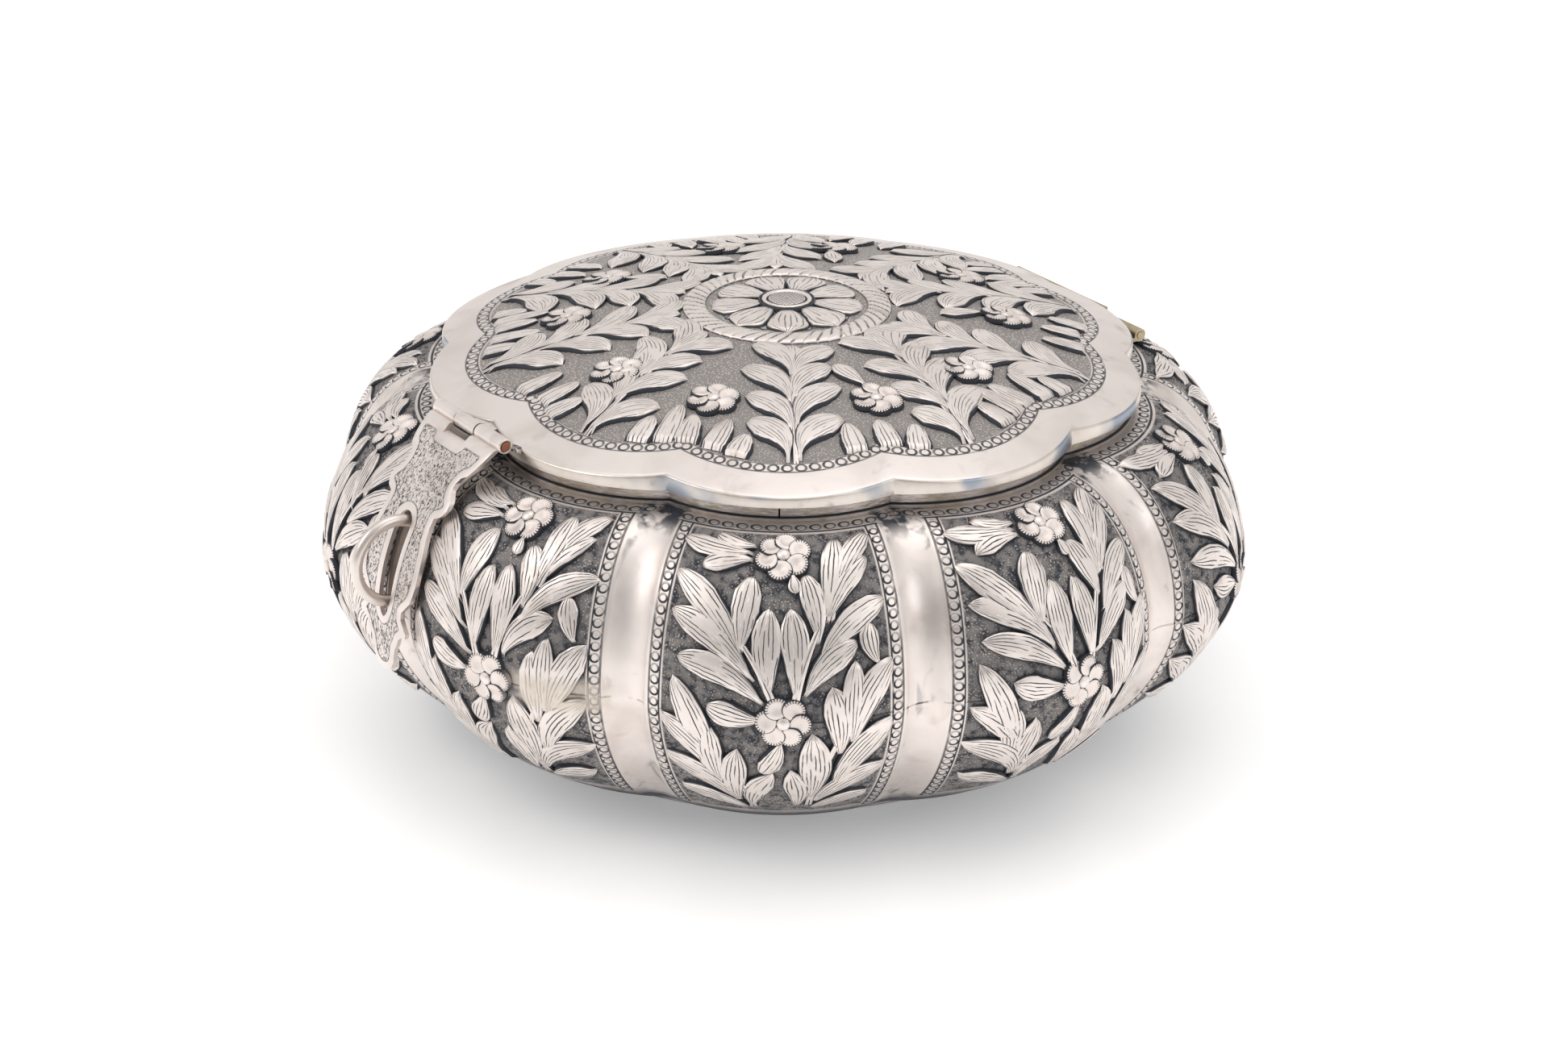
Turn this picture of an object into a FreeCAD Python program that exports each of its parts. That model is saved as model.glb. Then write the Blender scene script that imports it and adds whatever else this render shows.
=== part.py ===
import FreeCAD, Part
import math
import os
import Sketcher

# Silver lidded box: a ten-lobed, hand-raised box with a hinged domed lid, an upright scalloped
# neck, a hasp that hangs from the lid over a wire staple, and a hinge at the back.
# Frame: +Z up, origin at the centre of the flat base, hasp at -Y, rear hinge at +Y.
# A lobe is centred on +X and every 36 degrees from there, so the flutes point at -Y and +Y.

SIZES = {
    # Body, two raised halves that meet at the belly
    "lobes": 10,
    "belly_radius": 101.4,
    "belly_height": 40.4,
    "wall": 1.0,
    "lower_fullness": 1.6,
    "base_radius": 62.5,
    "base_thickness": 1.5,
    "foot_radius": 61.5,
    "shoulder_height": 72.3,
    "shoulder_ledge": 1.1,
    # Fall from a lobe's crest to the flute's edge, and the flute's own depth, at three heights
    "fall_at_belly": 4.2,
    "fall_at_shoulder": 2.8,
    "fall_at_foot": 1.7,
    "flute_depth_at_belly": 1.8,
    "flute_depth_at_shoulder": 1.6,
    "flute_depth_at_foot": 0.8,
    "flute_width": 10.0,
    # How far the chased leaves stand off the ground behind them
    "relief": 0.8,
    "lid_relief": 0.7,
    # Scalloped outline of the lid: arcs of one radius about centres on one circle
    "lobe_centre_radius": 41.2,
    "lid_arc": 36.7,
    "lid_sheet": 1.0,
    "lid_edge_above_shoulder": 5.8,
    "lid_rise": 12.0,
    "lip_above_shoulder": 3.6,
    "lid_clearance": 1.0,
    # Neck strip and the small step at its foot
    "neck_sheet": 1.0,
    "neck_height": 5.0,
    "neck_step": 0.5,
    "neck_step_height": 0.9,
    "neck_seam": 0.35,
    "neck_seam_turn": -36.0,
    # Rear hinge, just inside the reach of the lid's lobes and below its lip
    "rear_axis_inset": 0.4,
    "rear_axis_above_shoulder": 2.2,
    "rear_knuckle_length": 10.8,
    "rear_knuckle_radius": 1.5,
    "rear_pin_radius": 0.8,
    "pin_clearance": 0.05,
    "knuckle_gap": 0.25,
    "knuckle_relief": 0.3,
    "leaf_sheet": 0.9,
    "lid_leaf_above_shoulder": 4.4,
    "lid_leaf_height": 1.2,
    "leaf_root": 8.0,
    # Hasp hinge at the lid's front
    "front_axis_reach": 0.8,
    "front_axis_above_shoulder": 7.1,
    "front_knuckle_radius": 1.65,
    "front_pin_radius": 1.05,
    "front_barrel_half": 13.4,
    "front_lid_knuckle_left": 4.6,
    "front_lid_knuckle_right": 3.0,
    "front_tab_sheet": 1.0,
    # Hasp plate, bent in one arc from the barrel to where it drops straight in front of the belly
    "hasp_sheet": 1.1,
    "hasp_outside_barrel": 1.17,
    "hasp_behind_belly": 0.8,
    "hasp_straight_below_belly": 2.4,
    "hasp_tip_below_belly": 10.0,
    "hasp_slot_above_staple": 10.3,
    "hasp_slot_below_staple": 11.8,
    "hasp_slot_width": 5.2,
    # Staple, a bent wire whose two legs pass through the wall
    "staple_wire_radius": 1.25,
    "staple_ring_radius": 8.8,
    "staple_behind_belly": 3.6,
    "staple_above_belly": 13.5,
    "staple_lean": 20.0,
    "staple_leg": 25.0,
}

# Lengths that several pieces share, worked out from the sizes above
NECK_ARC = "Sizes.lid_arc - Sizes.lid_sheet - Sizes.lid_clearance"
LIP_HEIGHT = "Sizes.shoulder_height + Sizes.lip_above_shoulder"
LOBE_REACH = "Sizes.lobe_centre_radius + Sizes.lid_arc"
REAR_Y = LOBE_REACH + " - Sizes.rear_axis_inset"
REAR_Z = "Sizes.shoulder_height + Sizes.rear_axis_above_shoulder"
FRONT_Y = LOBE_REACH + " + Sizes.front_axis_reach"
FRONT_Z = "Sizes.shoulder_height + Sizes.front_axis_above_shoulder"
STAPLE_Y = "Sizes.belly_radius - Sizes.staple_behind_belly"
STAPLE_Z = "Sizes.belly_height + Sizes.staple_above_belly"

# Front outline of the hasp's right half: (distance from the middle, share of the height from its
# tip up to the barrel). The corners are its shoulder, ear, waist, belly, sharp barb and tongue.
HASP_CORNERS = [
    (13.0, 0.99),
    (12.2, 0.915),
    (11.2, 0.886),
    (9.4, 0.843),
    (11.4, 0.765),
    (8.7, 0.712),
    (10.0, 0.596),
    (10.7, 0.453),
    (9.7, 0.371),
    (7.0, 0.29),
    (9.4, 0.208),
    (6.3, 0.184),
    (4.4, 0.114),
    (4.1, 0.061),
]

# One panel's leaves: where each grows from, its tip, and its width. A place is (turn from the
# lobe's middle in degrees, distance along the crest above the belly seam).
PANEL_LEAVES = [
    # Spray to the left of the middle flower
    ((-3.9, 13.4), (-12.9, 29.0), 4.8),
    ((-2.7, 10.0), (-12.7, 20.9), 4.8),
    ((-1.6, 5.0), (-11.5, 11.8), 4.6),
    ((-4.3, 15.4), (-3.0, 29.6), 4.8),
    ((-1.0, 6.0), (-0.9, 23.2), 4.8),
    # Spray to the right of it
    ((2.4, 6.5), (1.6, 23.2), 4.6),
    ((4.8, 17.0), (3.3, 30.0), 4.0),
    ((5.8, 21.3), (7.5, 38.5), 4.2),
    ((7.6, 27.5), (12.3, 38.6), 3.8),
    ((6.1, 21.3), (11.4, 32.9), 3.6),
    ((5.1, 13.4), (13.0, 23.5), 4.4),
    ((3.6, 6.9), (9.3, 15.9), 4.2),
    # Leaves of the upper flower
    ((-3.4, 34.5), (-12.9, 36.6), 3.6),
    ((-3.3, 32.7), (-9.4, 30.4), 3.4),
    # Leaves beside and under the middle flower
    ((-1.8, 1.1), (-7.7, 3.1), 4.2),
    ((0.8, -6.4), (-1.7, -13.6), 3.6),
    # Lower spray on the left
    ((-6.8, -15.5), (-12.0, 7.8), 5.0),
    ((-5.9, -16.1), (-13.4, -0.5), 4.4),
    ((-4.4, -26.7), (-13.2, -11.0), 4.6),
    ((-6.6, -17.4), (-7.7, -0.9), 4.6),
    ((-4.6, -25.3), (-4.4, -7.0), 4.6),
    # Lower spray on the right
    ((7.1, -6.7), (6.3, 7.3), 4.8),
    ((8.7, -3.7), (9.1, 12.2), 3.6),
    ((9.0, -4.4), (13.5, 11.7), 5.0),
    ((7.2, -19.4), (13.6, -0.7), 5.0),
    ((4.9, -26.5), (12.9, -13.1), 4.6),
    ((4.1, -23.3), (4.1, -2.6), 5.4),
]
PANEL_FLOWERS = [(0.7, 34.2), (0.9, 0.4)]
FLOWER_RADIUS = 5.6

# One tenth of the lid: (distance from the middle, turn from the lobe's middle in degrees)
LID_LEAVES = [
    ((36.0, 0.0), (24.5, 0.0), 4.6),
    ((39.0, 1.0), (26.0, 16.5), 4.2),
    ((47.0, 1.5), (35.0, 15.0), 4.4),
    ((57.0, 1.5), (44.5, 11.5), 4.8),
    ((66.5, 1.6), (54.7, 9.5), 5.0),
    ((65.0, 11.5), (57.0, 9.0), 4.0),
]
LID_FLOWER_DISTANCE = 47.5
ROPE_RING = (17.6, 22.6)
ROSETTE = {"petals": 9, "inner": 6.0, "outer": 15.2, "width": 8.0, "boss": 6.2}

doc = FreeCAD.newDocument("silver_lidded_box")
sheet = doc.addObject("Spreadsheet::Sheet", "Sizes")
for row, (alias, value) in enumerate(SIZES.items(), start=1):
    sheet.set("A%d" % row, alias)
    sheet.set("B%d" % row, str(value))
    sheet.setAlias("B%d" % row, alias)
doc.recompute()


def size(alias):
    """The value that the spreadsheet holds under an alias."""
    return float(sheet.get(alias))


def bind(thing, **expressions):
    """Tie an object's properties to the sheet; at_x, at_y and at_z are its place."""
    places = {"at_x": "Placement.Base.x", "at_y": "Placement.Base.y", "at_z": "Placement.Base.z"}
    for key, expression in expressions.items():
        thing.setExpression(places.get(key, key), expression)
    return thing


def primitive(kind, name, direction=None, **expressions):
    """A Part primitive bound to the sheet, turned so that its Z axis points along direction."""
    thing = doc.addObject("Part::" + kind, name)
    if direction is not None:
        turn = FreeCAD.Rotation(FreeCAD.Vector(0, 0, 1), FreeCAD.Vector(*direction))
        thing.Placement = FreeCAD.Placement(FreeCAD.Vector(0, 0, 0), turn)
    return bind(thing, **expressions)


def cut(name, base, tool):
    """Base less tool."""
    thing = doc.addObject("Part::Cut", name)
    thing.Base = base
    thing.Tool = tool
    return thing


def fuse(name, pieces):
    """The union of several objects."""
    thing = doc.addObject("Part::MultiFuse", name)
    thing.Shapes = pieces
    thing.Refine = True
    return thing


def common(name, first, second):
    """What two objects share."""
    thing = doc.addObject("Part::Common", name)
    thing.Base = first
    thing.Tool = second
    return thing


def plane_of(body, role):
    """One of a body's own origin planes or axes."""
    return [feature for feature in body.Origin.OriginFeatures if feature.Role == role][0]


def sketch_on(body, name, role):
    """An empty sketch on one of the body's origin planes."""
    sketch = body.newObject("Sketcher::SketchObject", name)
    sketch.AttachmentSupport = [(plane_of(body, role), "")]
    sketch.MapMode = "FlatFace"
    return sketch


def pad(body, name, sketch, **expressions):
    """A pad of a sketch, bound to the sheet."""
    feature = body.newObject("PartDesign::Pad", name)
    feature.Profile = sketch
    bind(feature, **expressions)
    return feature


# Scalloped prisms

def scalloped_prism(name, arc, bottom, height):
    """A prism with the lid's outline: one pie-shaped lobe, padded and repeated round the axis."""
    body = doc.addObject("PartDesign::Body", name)
    sketch = sketch_on(body, name + "_lobe", "XY_Plane")
    centre = size("lobe_centre_radius")
    half = math.pi / size("lobes")
    radius = size("lid_arc")
    reach = centre * math.cos(half) + math.sqrt(radius ** 2 - (centre * math.sin(half)) ** 2)
    origin = FreeCAD.Vector(0, 0, 0)
    ends = [FreeCAD.Vector(reach * math.cos(side), reach * math.sin(side), 0) for side in (-half, half)]
    swing = math.atan2(ends[1].y, ends[1].x - centre)
    circle = Part.Circle(FreeCAD.Vector(centre, 0, 0), FreeCAD.Vector(0, 0, 1), radius)
    sketch.addGeometry(Part.LineSegment(origin, ends[0]))
    sketch.addGeometry(Part.LineSegment(origin, ends[1]))
    sketch.addGeometry(Part.ArcOfCircle(circle, -swing, swing))
    sketch.addConstraint(Sketcher.Constraint("Coincident", 0, 1, -1, 1))
    sketch.addConstraint(Sketcher.Constraint("Coincident", 1, 1, -1, 1))
    sketch.addConstraint(Sketcher.Constraint("Coincident", 0, 2, 2, 1))
    sketch.addConstraint(Sketcher.Constraint("Coincident", 1, 2, 2, 2))
    sketch.addConstraint(Sketcher.Constraint("PointOnObject", 2, 3, -1))
    driven = [
        (Sketcher.Constraint("Angle", 0, -half), "-180 deg / Sizes.lobes"),
        (Sketcher.Constraint("Angle", 1, half), "180 deg / Sizes.lobes"),
        (Sketcher.Constraint("DistanceX", -1, 1, 2, 3, centre), "Sizes.lobe_centre_radius"),
        (Sketcher.Constraint("Radius", 2, radius), arc),
    ]
    for constraint, expression in driven:
        index = sketch.addConstraint(constraint)
        sketch.setExpression("Constraints[%d]" % index, expression)
    lobe = pad(body, name + "_pad", sketch, Length=height)
    doc.recompute()
    pattern = body.newObject("PartDesign::PolarPattern", name + "_pattern")
    pattern.Originals = [lobe]
    pattern.Axis = (plane_of(body, "Z_Axis"), [""])
    pattern.Angle = 360
    bind(pattern, Occurrences="Sizes.lobes")
    body.Tip = pattern
    bind(body, at_z=bottom)
    return body


# Body

def lobed_section(crest, fall, depth, height, inset):
    """A closed outline at one height: ten crowned lobes with a hollow flute between each two.

    crest is the radius at a lobe's middle, fall the drop from there to the flute's edge, and
    depth the flute's own depth; inset moves the whole outline inwards.
    """
    lobes = int(size("lobes"))
    edge_radius = crest - fall - inset
    spread = size("flute_width") / 2 / (crest - fall)

    def point(radius, turn):
        return FreeCAD.Vector(radius * math.cos(turn), radius * math.sin(turn), height)

    edges = []
    for lobe in range(lobes):
        middle = 2 * math.pi * lobe / lobes
        half = math.pi / lobes
        start = point(edge_radius, middle - half + spread)
        top = point(crest - inset, middle)
        end = point(edge_radius, middle + half - spread)
        hollow = point(edge_radius - depth, middle + half)
        following = point(edge_radius, middle + half + spread)
        edges.append(Part.Arc(start, top, end).toShape())
        edges.append(Part.Arc(end, hollow, following).toShape())
    return Part.Wire(edges)


def lower_sections(inset, floor):
    """Outlines from the foot up to the belly, on a flattened quarter curve."""
    rise = size("belly_height") - floor
    fullness = size("lower_fullness")
    wires = []
    for share in (1.0, 0.95, 0.85, 0.7, 0.5, 0.25, 0.0):
        swell = (1 - share ** fullness) ** (1 / fullness)
        crest = size("foot_radius") + (size("belly_radius") - size("foot_radius")) * swell
        fall = blend("fall_at_belly", "fall_at_foot", share)
        depth = blend("flute_depth_at_belly", "flute_depth_at_foot", share)
        wires.append(lobed_section(crest, fall, depth, floor + rise * (1 - share), inset))
    return wires


def upper_sections(inset, top):
    """Outlines from the belly up to the shoulder's ledge, on a quarter ellipse."""
    rise = top - size("belly_height")
    wires = []
    for degrees in (0, 18, 36, 52, 66, 78, 90):
        share = math.sin(math.radians(degrees))
        swell = math.cos(math.radians(degrees))
        crest = shoulder_radius() + (size("belly_radius") - shoulder_radius()) * swell
        fall = blend("fall_at_belly", "fall_at_shoulder", share)
        depth = blend("flute_depth_at_belly", "flute_depth_at_shoulder", share)
        wires.append(lobed_section(crest, fall, depth, size("belly_height") + rise * share, inset))
    return wires


def blend(at_belly, at_end, share):
    """A size that changes slowly near the belly and faster towards the end of its half."""
    return size(at_belly) + (size(at_end) - size(at_belly)) * share ** 2


def shoulder_radius():
    """Radius of the shoulder's top edge: the neck's scallops and the ledge round them."""
    neck_arc = size("lid_arc") - size("lid_sheet") - size("lid_clearance")
    return size("lobe_centre_radius") + neck_arc + size("shoulder_ledge")


def lofted(name, wires):
    """A smooth solid through the outlines."""
    feature = doc.addObject("Part::Feature", name)
    feature.Shape = Part.makeLoft(wires, True, False)
    return feature


def crest_place(distance):
    """Where a distance along a lobe's crest from the belly seam ends: (radius, height)."""
    radius = size("belly_radius")
    height = size("belly_height")
    walked = 0.0
    steps = 200
    for step in range(1, steps + 1):
        share = step / steps
        if distance > 0:
            turn = math.pi / 2 * share
            swell = math.cos(turn)
            following = shoulder_radius() + (size("belly_radius") - shoulder_radius()) * swell
            rise = (size("shoulder_height") - size("belly_height")) * math.sin(turn)
        else:
            fullness = size("lower_fullness")
            swell = (1 - share ** fullness) ** (1 / fullness)
            following = size("foot_radius") + (size("belly_radius") - size("foot_radius")) * swell
            rise = (size("base_thickness") - size("belly_height")) * share
        new_height = size("belly_height") + rise
        walked += math.hypot(following - radius, new_height - height)
        radius = following
        height = new_height
        if walked >= abs(distance):
            break
    return radius, height


def panel_place(turn, distance):
    """A point of the panel's ground, by turn from the lobe's middle and distance up the crest."""
    crest, height = crest_place(distance)
    share = turn / (180 / size("lobes"))
    radius = crest - size("fall_at_belly") * share ** 2
    angle = math.radians(turn)
    return FreeCAD.Vector(radius * math.cos(angle), radius * math.sin(angle), height)


def panel_frame(turn, distance):
    """The ground's place and its sideways, upward and outward directions there."""
    step = 0.5
    across = panel_place(turn + step, distance) - panel_place(turn - step, distance)
    along = panel_place(turn, distance + step) - panel_place(turn, distance - step)
    across.normalize()
    along.normalize()
    outward = across.cross(along)
    outward.normalize()
    return panel_place(turn, distance), across, outward.cross(across), outward


def leaf_outline(base, tip, width):
    """A pointed leaf in a plane: narrow at its base and widest past its middle."""
    axis = tip - base
    side = FreeCAD.Vector(-axis.y, axis.x, 0)
    side.normalize()
    shape = [(0.0, 0.12), (0.35, 0.38), (0.66, 0.5), (0.88, 0.3)]
    left = [base + axis * share + side * width * half for share, half in shape]
    right = [base + axis * share - side * width * half for share, half in reversed(shape)]
    return left + [tip] + right


def flower_outline(centre, radius, petals=6):
    """A flower with pointed notches between blunt petals."""
    points = []
    for petal in range(petals):
        for offset, reach in ((-0.22, 1.0), (0.22, 1.0), (0.5, 0.62)):
            angle = 2 * math.pi * (petal + offset) / petals
            points.append(centre + FreeCAD.Vector(math.cos(angle), math.sin(angle), 0) * radius * reach)
    return points


def standing_prism(points, frame, below, above):
    """A prism over an outline drawn in the plane of a frame, from below the ground to above it."""
    place, across, along, outward = frame
    corners = [place + across * p.x + along * p.y - outward * below for p in points]
    face = Part.Face(Part.makePolygon(corners + corners[:1]))
    return face.extrude(outward * (below + above))


def panel_prisms(name):
    """Cutters for one panel's leaves and flowers, square to the ground under each."""
    prisms = []
    for base, tip, width in PANEL_LEAVES:
        middle = ((base[0] + tip[0]) / 2, (base[1] + tip[1]) / 2)
        frame = panel_frame(*middle)
        spread = math.radians(1) * math.hypot(frame[0].x, frame[0].y)
        ends = [FreeCAD.Vector((e[0] - middle[0]) * spread, e[1] - middle[1], 0) for e in (base, tip)]
        prisms.append(standing_prism(leaf_outline(ends[0], ends[1], width), frame, 4.5, 2.5))
    for turn, distance in PANEL_FLOWERS:
        outline = flower_outline(FreeCAD.Vector(0, 0, 0), FLOWER_RADIUS)
        prisms.append(standing_prism(outline, panel_frame(turn, distance), 3.0, 2.5))
    feature = doc.addObject("Part::Feature", name)
    feature.Shape = prisms[0].multiFuse(prisms[1:])
    return feature


def round_the_axis(name, source):
    """One lobe's shape joined to its copies on every other lobe."""
    doc.recompute()
    lobes = int(size("lobes"))
    copies = []
    for lobe in range(lobes):
        copy = source.Shape.copy()
        copy.rotate(FreeCAD.Vector(0, 0, 0), FreeCAD.Vector(0, 0, 1), 360 * lobe / lobes)
        copies += copy.Solids
    feature = doc.addObject("Part::Feature", name)
    feature.Shape = copies[0].multiFuse(copies[1:])
    return feature


def lobe_wedge():
    """The upright wedge that one lobe fills, from flute to flute."""
    wedge = primitive(
        "Cylinder",
        "lobe_wedge",
        Radius="2 * Sizes.belly_radius",
        Height="2 * Sizes.shoulder_height",
        Angle="360 deg / Sizes.lobes",
    )
    half_turn = FreeCAD.Rotation(FreeCAD.Vector(0, 0, 1), -180 / size("lobes"))
    wedge.Placement = FreeCAD.Placement(FreeCAD.Vector(0, 0, 0), half_turn)
    return wedge


def chased_shell(name, outside, inside, skin, wedge, prisms):
    """A half's wall: one lobe with its leaves, hollowed, then repeated round the axis."""
    leaves = common(name + "_leaves", skin, prisms)
    lobe = common(name + "_lobe", outside, wedge)
    chased = fuse(name + "_chased_lobe", [lobe, leaves])
    return round_the_axis(name + "_wall", cut(name + "_lobe_wall", chased, inside))


def build_body(staple_stock, staple_legs):
    """The two raised halves with their chased leaves, the disc under them, and the staple."""
    wall = size("wall")
    relief = size("relief")
    floor = size("base_thickness")
    top = size("shoulder_height")
    prisms = panel_prisms("panel_prisms")
    wedge = lobe_wedge()
    lower_outside = lofted("lower_outside", lower_sections(0, floor))
    lower_inside = lofted("lower_inside", lower_sections(wall, floor + wall))
    lower_skin = lofted("lower_relief_skin", lower_sections(-relief, floor - relief))
    lower = chased_shell("body_lower", lower_outside, lower_inside, lower_skin, wedge, prisms)
    lower.Label = "body_lower_half"
    upper_outside = lofted("upper_outside", upper_sections(0, top))
    upper_inside = lofted("upper_inside", upper_sections(wall, top - wall))
    upper_skin = lofted("upper_relief_skin", upper_sections(-relief, top + relief))
    shell = chased_shell("body_upper", upper_outside, upper_inside, upper_skin, wedge, prisms)
    mouth = scalloped_prism(
        "mouth", NECK_ARC + " - Sizes.neck_sheet", "Sizes.shoulder_height - 2 * Sizes.wall", "3 * Sizes.wall"
    )
    upper = cut("body_upper_half", cut("upper_open", shell, mouth), staple_legs)
    base = primitive("Cylinder", "base_plate", Radius="Sizes.base_radius", Height="Sizes.base_thickness")
    staple = cut("staple", staple_stock, upper_inside)
    return [lower, upper, base, staple]


def build_neck():
    """The upright scalloped strip round the mouth, with its step and its open butt seam."""
    outer = scalloped_prism(
        "neck_outer", NECK_ARC, "Sizes.shoulder_height", "Sizes.neck_height"
    )
    step = scalloped_prism(
        "neck_foot", NECK_ARC + " + Sizes.neck_step", "Sizes.shoulder_height", "Sizes.neck_step_height"
    )
    inner = scalloped_prism(
        "neck_inner",
        NECK_ARC + " - Sizes.neck_sheet",
        "Sizes.shoulder_height - 1",
        "Sizes.neck_height + 2",
    )
    strip = cut("neck_strip", fuse("neck_stock", [outer, step]), inner)
    seam = primitive(
        "Box",
        "neck_seam_cut",
        Length="Sizes.neck_sheet * 6",
        Width="Sizes.neck_seam",
        Height="2 * Sizes.neck_height",
    )
    seam.Placement = FreeCAD.Placement(
        FreeCAD.Vector(0, 0, 0), FreeCAD.Rotation(size("neck_seam_turn"), 0, 0)
    )
    reach = "(Sizes.lobe_centre_radius + " + NECK_ARC + " - 3 * Sizes.neck_sheet)"
    cosine = "cos(Sizes.neck_seam_turn * 1 deg)"
    sine = "sin(Sizes.neck_seam_turn * 1 deg)"
    bind(
        seam,
        at_x="%s * %s + Sizes.neck_seam / 2 * %s" % (reach, cosine, sine),
        at_y="%s * %s - Sizes.neck_seam / 2 * %s" % (reach, sine, cosine),
        at_z="Sizes.shoulder_height + Sizes.neck_step_height",
    )
    return [cut("neck_collar", strip, seam)]


# Lid

def dome_height(distance):
    """Height of the lid's dome at a distance from its middle."""
    reach = size("lobe_centre_radius") + size("lid_arc")
    radius = (reach ** 2 + size("lid_rise") ** 2) / (2 * size("lid_rise"))
    top = size("shoulder_height") + size("lid_edge_above_shoulder") + size("lid_rise")
    return top - radius + math.sqrt(radius ** 2 - distance ** 2)


def lid_prism(points, lowest):
    """An upright prism over an outline on the lid."""
    corners = [FreeCAD.Vector(p.x, p.y, dome_height(lowest) - 1.5 * size("lid_sheet")) for p in points]
    face = Part.Face(Part.makePolygon(corners + corners[:1]))
    return face.extrude(FreeCAD.Vector(0, 0, 6))


def polar(distance, turn):
    """A point by its distance from the middle and its turn in degrees."""
    angle = math.radians(turn)
    return FreeCAD.Vector(distance * math.cos(angle), distance * math.sin(angle), 0)


def lid_prisms(name):
    """Cutters for one tenth of the lid: a spray, its flower at the cusp and the leaves by it."""
    prisms = []
    for base, tip, width in LID_LEAVES:
        for side in ((1,) if tip[1] == 0 else (1, -1)):
            ends = [polar(base[0], side * base[1]), polar(tip[0], side * tip[1])]
            prisms.append(lid_prism(leaf_outline(ends[0], ends[1], width), base[0]))
    cusp = polar(LID_FLOWER_DISTANCE, 180 / size("lobes"))
    flower = flower_outline(cusp, FLOWER_RADIUS * 0.95)
    prisms.append(lid_prism(flower, LID_FLOWER_DISTANCE + FLOWER_RADIUS))
    feature = doc.addObject("Part::Feature", name)
    feature.Shape = prisms[0].multiFuse(prisms[1:])
    return feature


def rosette_prisms(name):
    """Cutters for the rope ring, the rosette's petals and its boss."""
    low = dome_height(ROPE_RING[1]) - 1.5 * size("lid_sheet")
    up = FreeCAD.Vector(0, 0, 1)
    foot = FreeCAD.Vector(0, 0, low)
    ring = Part.makeCylinder(ROPE_RING[1], 6, foot, up).cut(Part.makeCylinder(ROPE_RING[0], 6, foot, up))
    boss = Part.makeCylinder(ROSETTE["boss"], 6, foot, up)
    petals = []
    for petal in range(ROSETTE["petals"]):
        turn = 360 * petal / ROSETTE["petals"]
        ends = [polar(ROSETTE[end], turn) for end in ("inner", "outer")]
        petals.append(lid_prism(leaf_outline(ends[0], ends[1], ROSETTE["width"]), ROPE_RING[1]))
    feature = doc.addObject("Part::Feature", name)
    feature.Shape = Part.makeCompound([ring, boss.multiFuse(petals)])
    return feature


def build_lid():
    """One sheet: a shallow chased dome whose scalloped edge turns down into a lip."""
    tall = "Sizes.lid_edge_above_shoulder + Sizes.lid_rise - Sizes.lip_above_shoulder + 1"
    dome_radius = "(((%s)^2 + Sizes.lid_rise^2) / (2 * Sizes.lid_rise))" % LOBE_REACH
    dome_top = "Sizes.shoulder_height + Sizes.lid_edge_above_shoulder + Sizes.lid_rise"
    dome_centre = dome_top + " - " + dome_radius
    stock = scalloped_prism("lid_stock", "Sizes.lid_arc", LIP_HEIGHT, tall)
    hollow = scalloped_prism(
        "lid_hollow_stock", "Sizes.lid_arc - Sizes.lid_sheet", LIP_HEIGHT + " - 1", tall + " + 1"
    )
    outer_dome = primitive("Sphere", "lid_outer_dome", Radius=dome_radius, at_z=dome_centre)
    inner_dome = primitive(
        "Sphere", "lid_inner_dome", Radius=dome_radius + " - Sizes.lid_sheet", at_z=dome_centre
    )
    skin = primitive(
        "Sphere", "lid_relief_skin", Radius=dome_radius + " + Sizes.lid_relief", at_z=dome_centre
    )
    leaves = round_the_axis("lid_leaves", common("lid_spray", skin, lid_prisms("lid_prisms")))
    rosette = common("lid_rosette", skin, rosette_prisms("lid_rosette_prisms"))
    outside = fuse("lid_chased", [common("lid_outside", stock, outer_dome), leaves, rosette])
    inside = common("lid_inside", hollow, inner_dome)
    return [cut("lid", outside, inside)], stock


# Hinges

def knuckle_tube(name, start, length, radius, bore, at_y, at_z):
    """A rolled knuckle: a tube along X."""
    outer = primitive(
        "Cylinder", name + "_outer", (1, 0, 0), Radius=radius, Height=length, at_x=start, at_y=at_y, at_z=at_z
    )
    inner = primitive(
        "Cylinder",
        name + "_bore",
        (1, 0, 0),
        Radius=bore,
        Height=length + " + 2",
        at_x=start + " - 1",
        at_y=at_y,
        at_z=at_z,
    )
    return outer, inner


def block(name, low, high):
    """A box between two corners, each given as three expressions."""
    return primitive(
        "Box",
        name,
        Length="(%s) - (%s)" % (high[0], low[0]),
        Width="(%s) - (%s)" % (high[1], low[1]),
        Height="(%s) - (%s)" % (high[2], low[2]),
        at_x=low[0],
        at_y=low[1],
        at_z=low[2],
    )


def rear_knuckle(name, index):
    """One of the five knuckles of the rear hinge, counted from -X."""
    start = "(%g * Sizes.rear_knuckle_length + Sizes.knuckle_gap / 2)" % (index - 2.5)
    return knuckle_tube(
        name,
        start,
        "Sizes.rear_knuckle_length - Sizes.knuckle_gap",
        "Sizes.rear_knuckle_radius",
        "Sizes.rear_pin_radius + Sizes.pin_clearance",
        REAR_Y,
        REAR_Z,
    )


def rear_span(index):
    """Where a rear knuckle starts and ends along X."""
    start = "%g * Sizes.rear_knuckle_length + Sizes.knuckle_gap / 2" % (index - 2.5)
    end = "%g * Sizes.rear_knuckle_length - Sizes.knuckle_gap / 2" % (index - 1.5)
    return start, end


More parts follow.
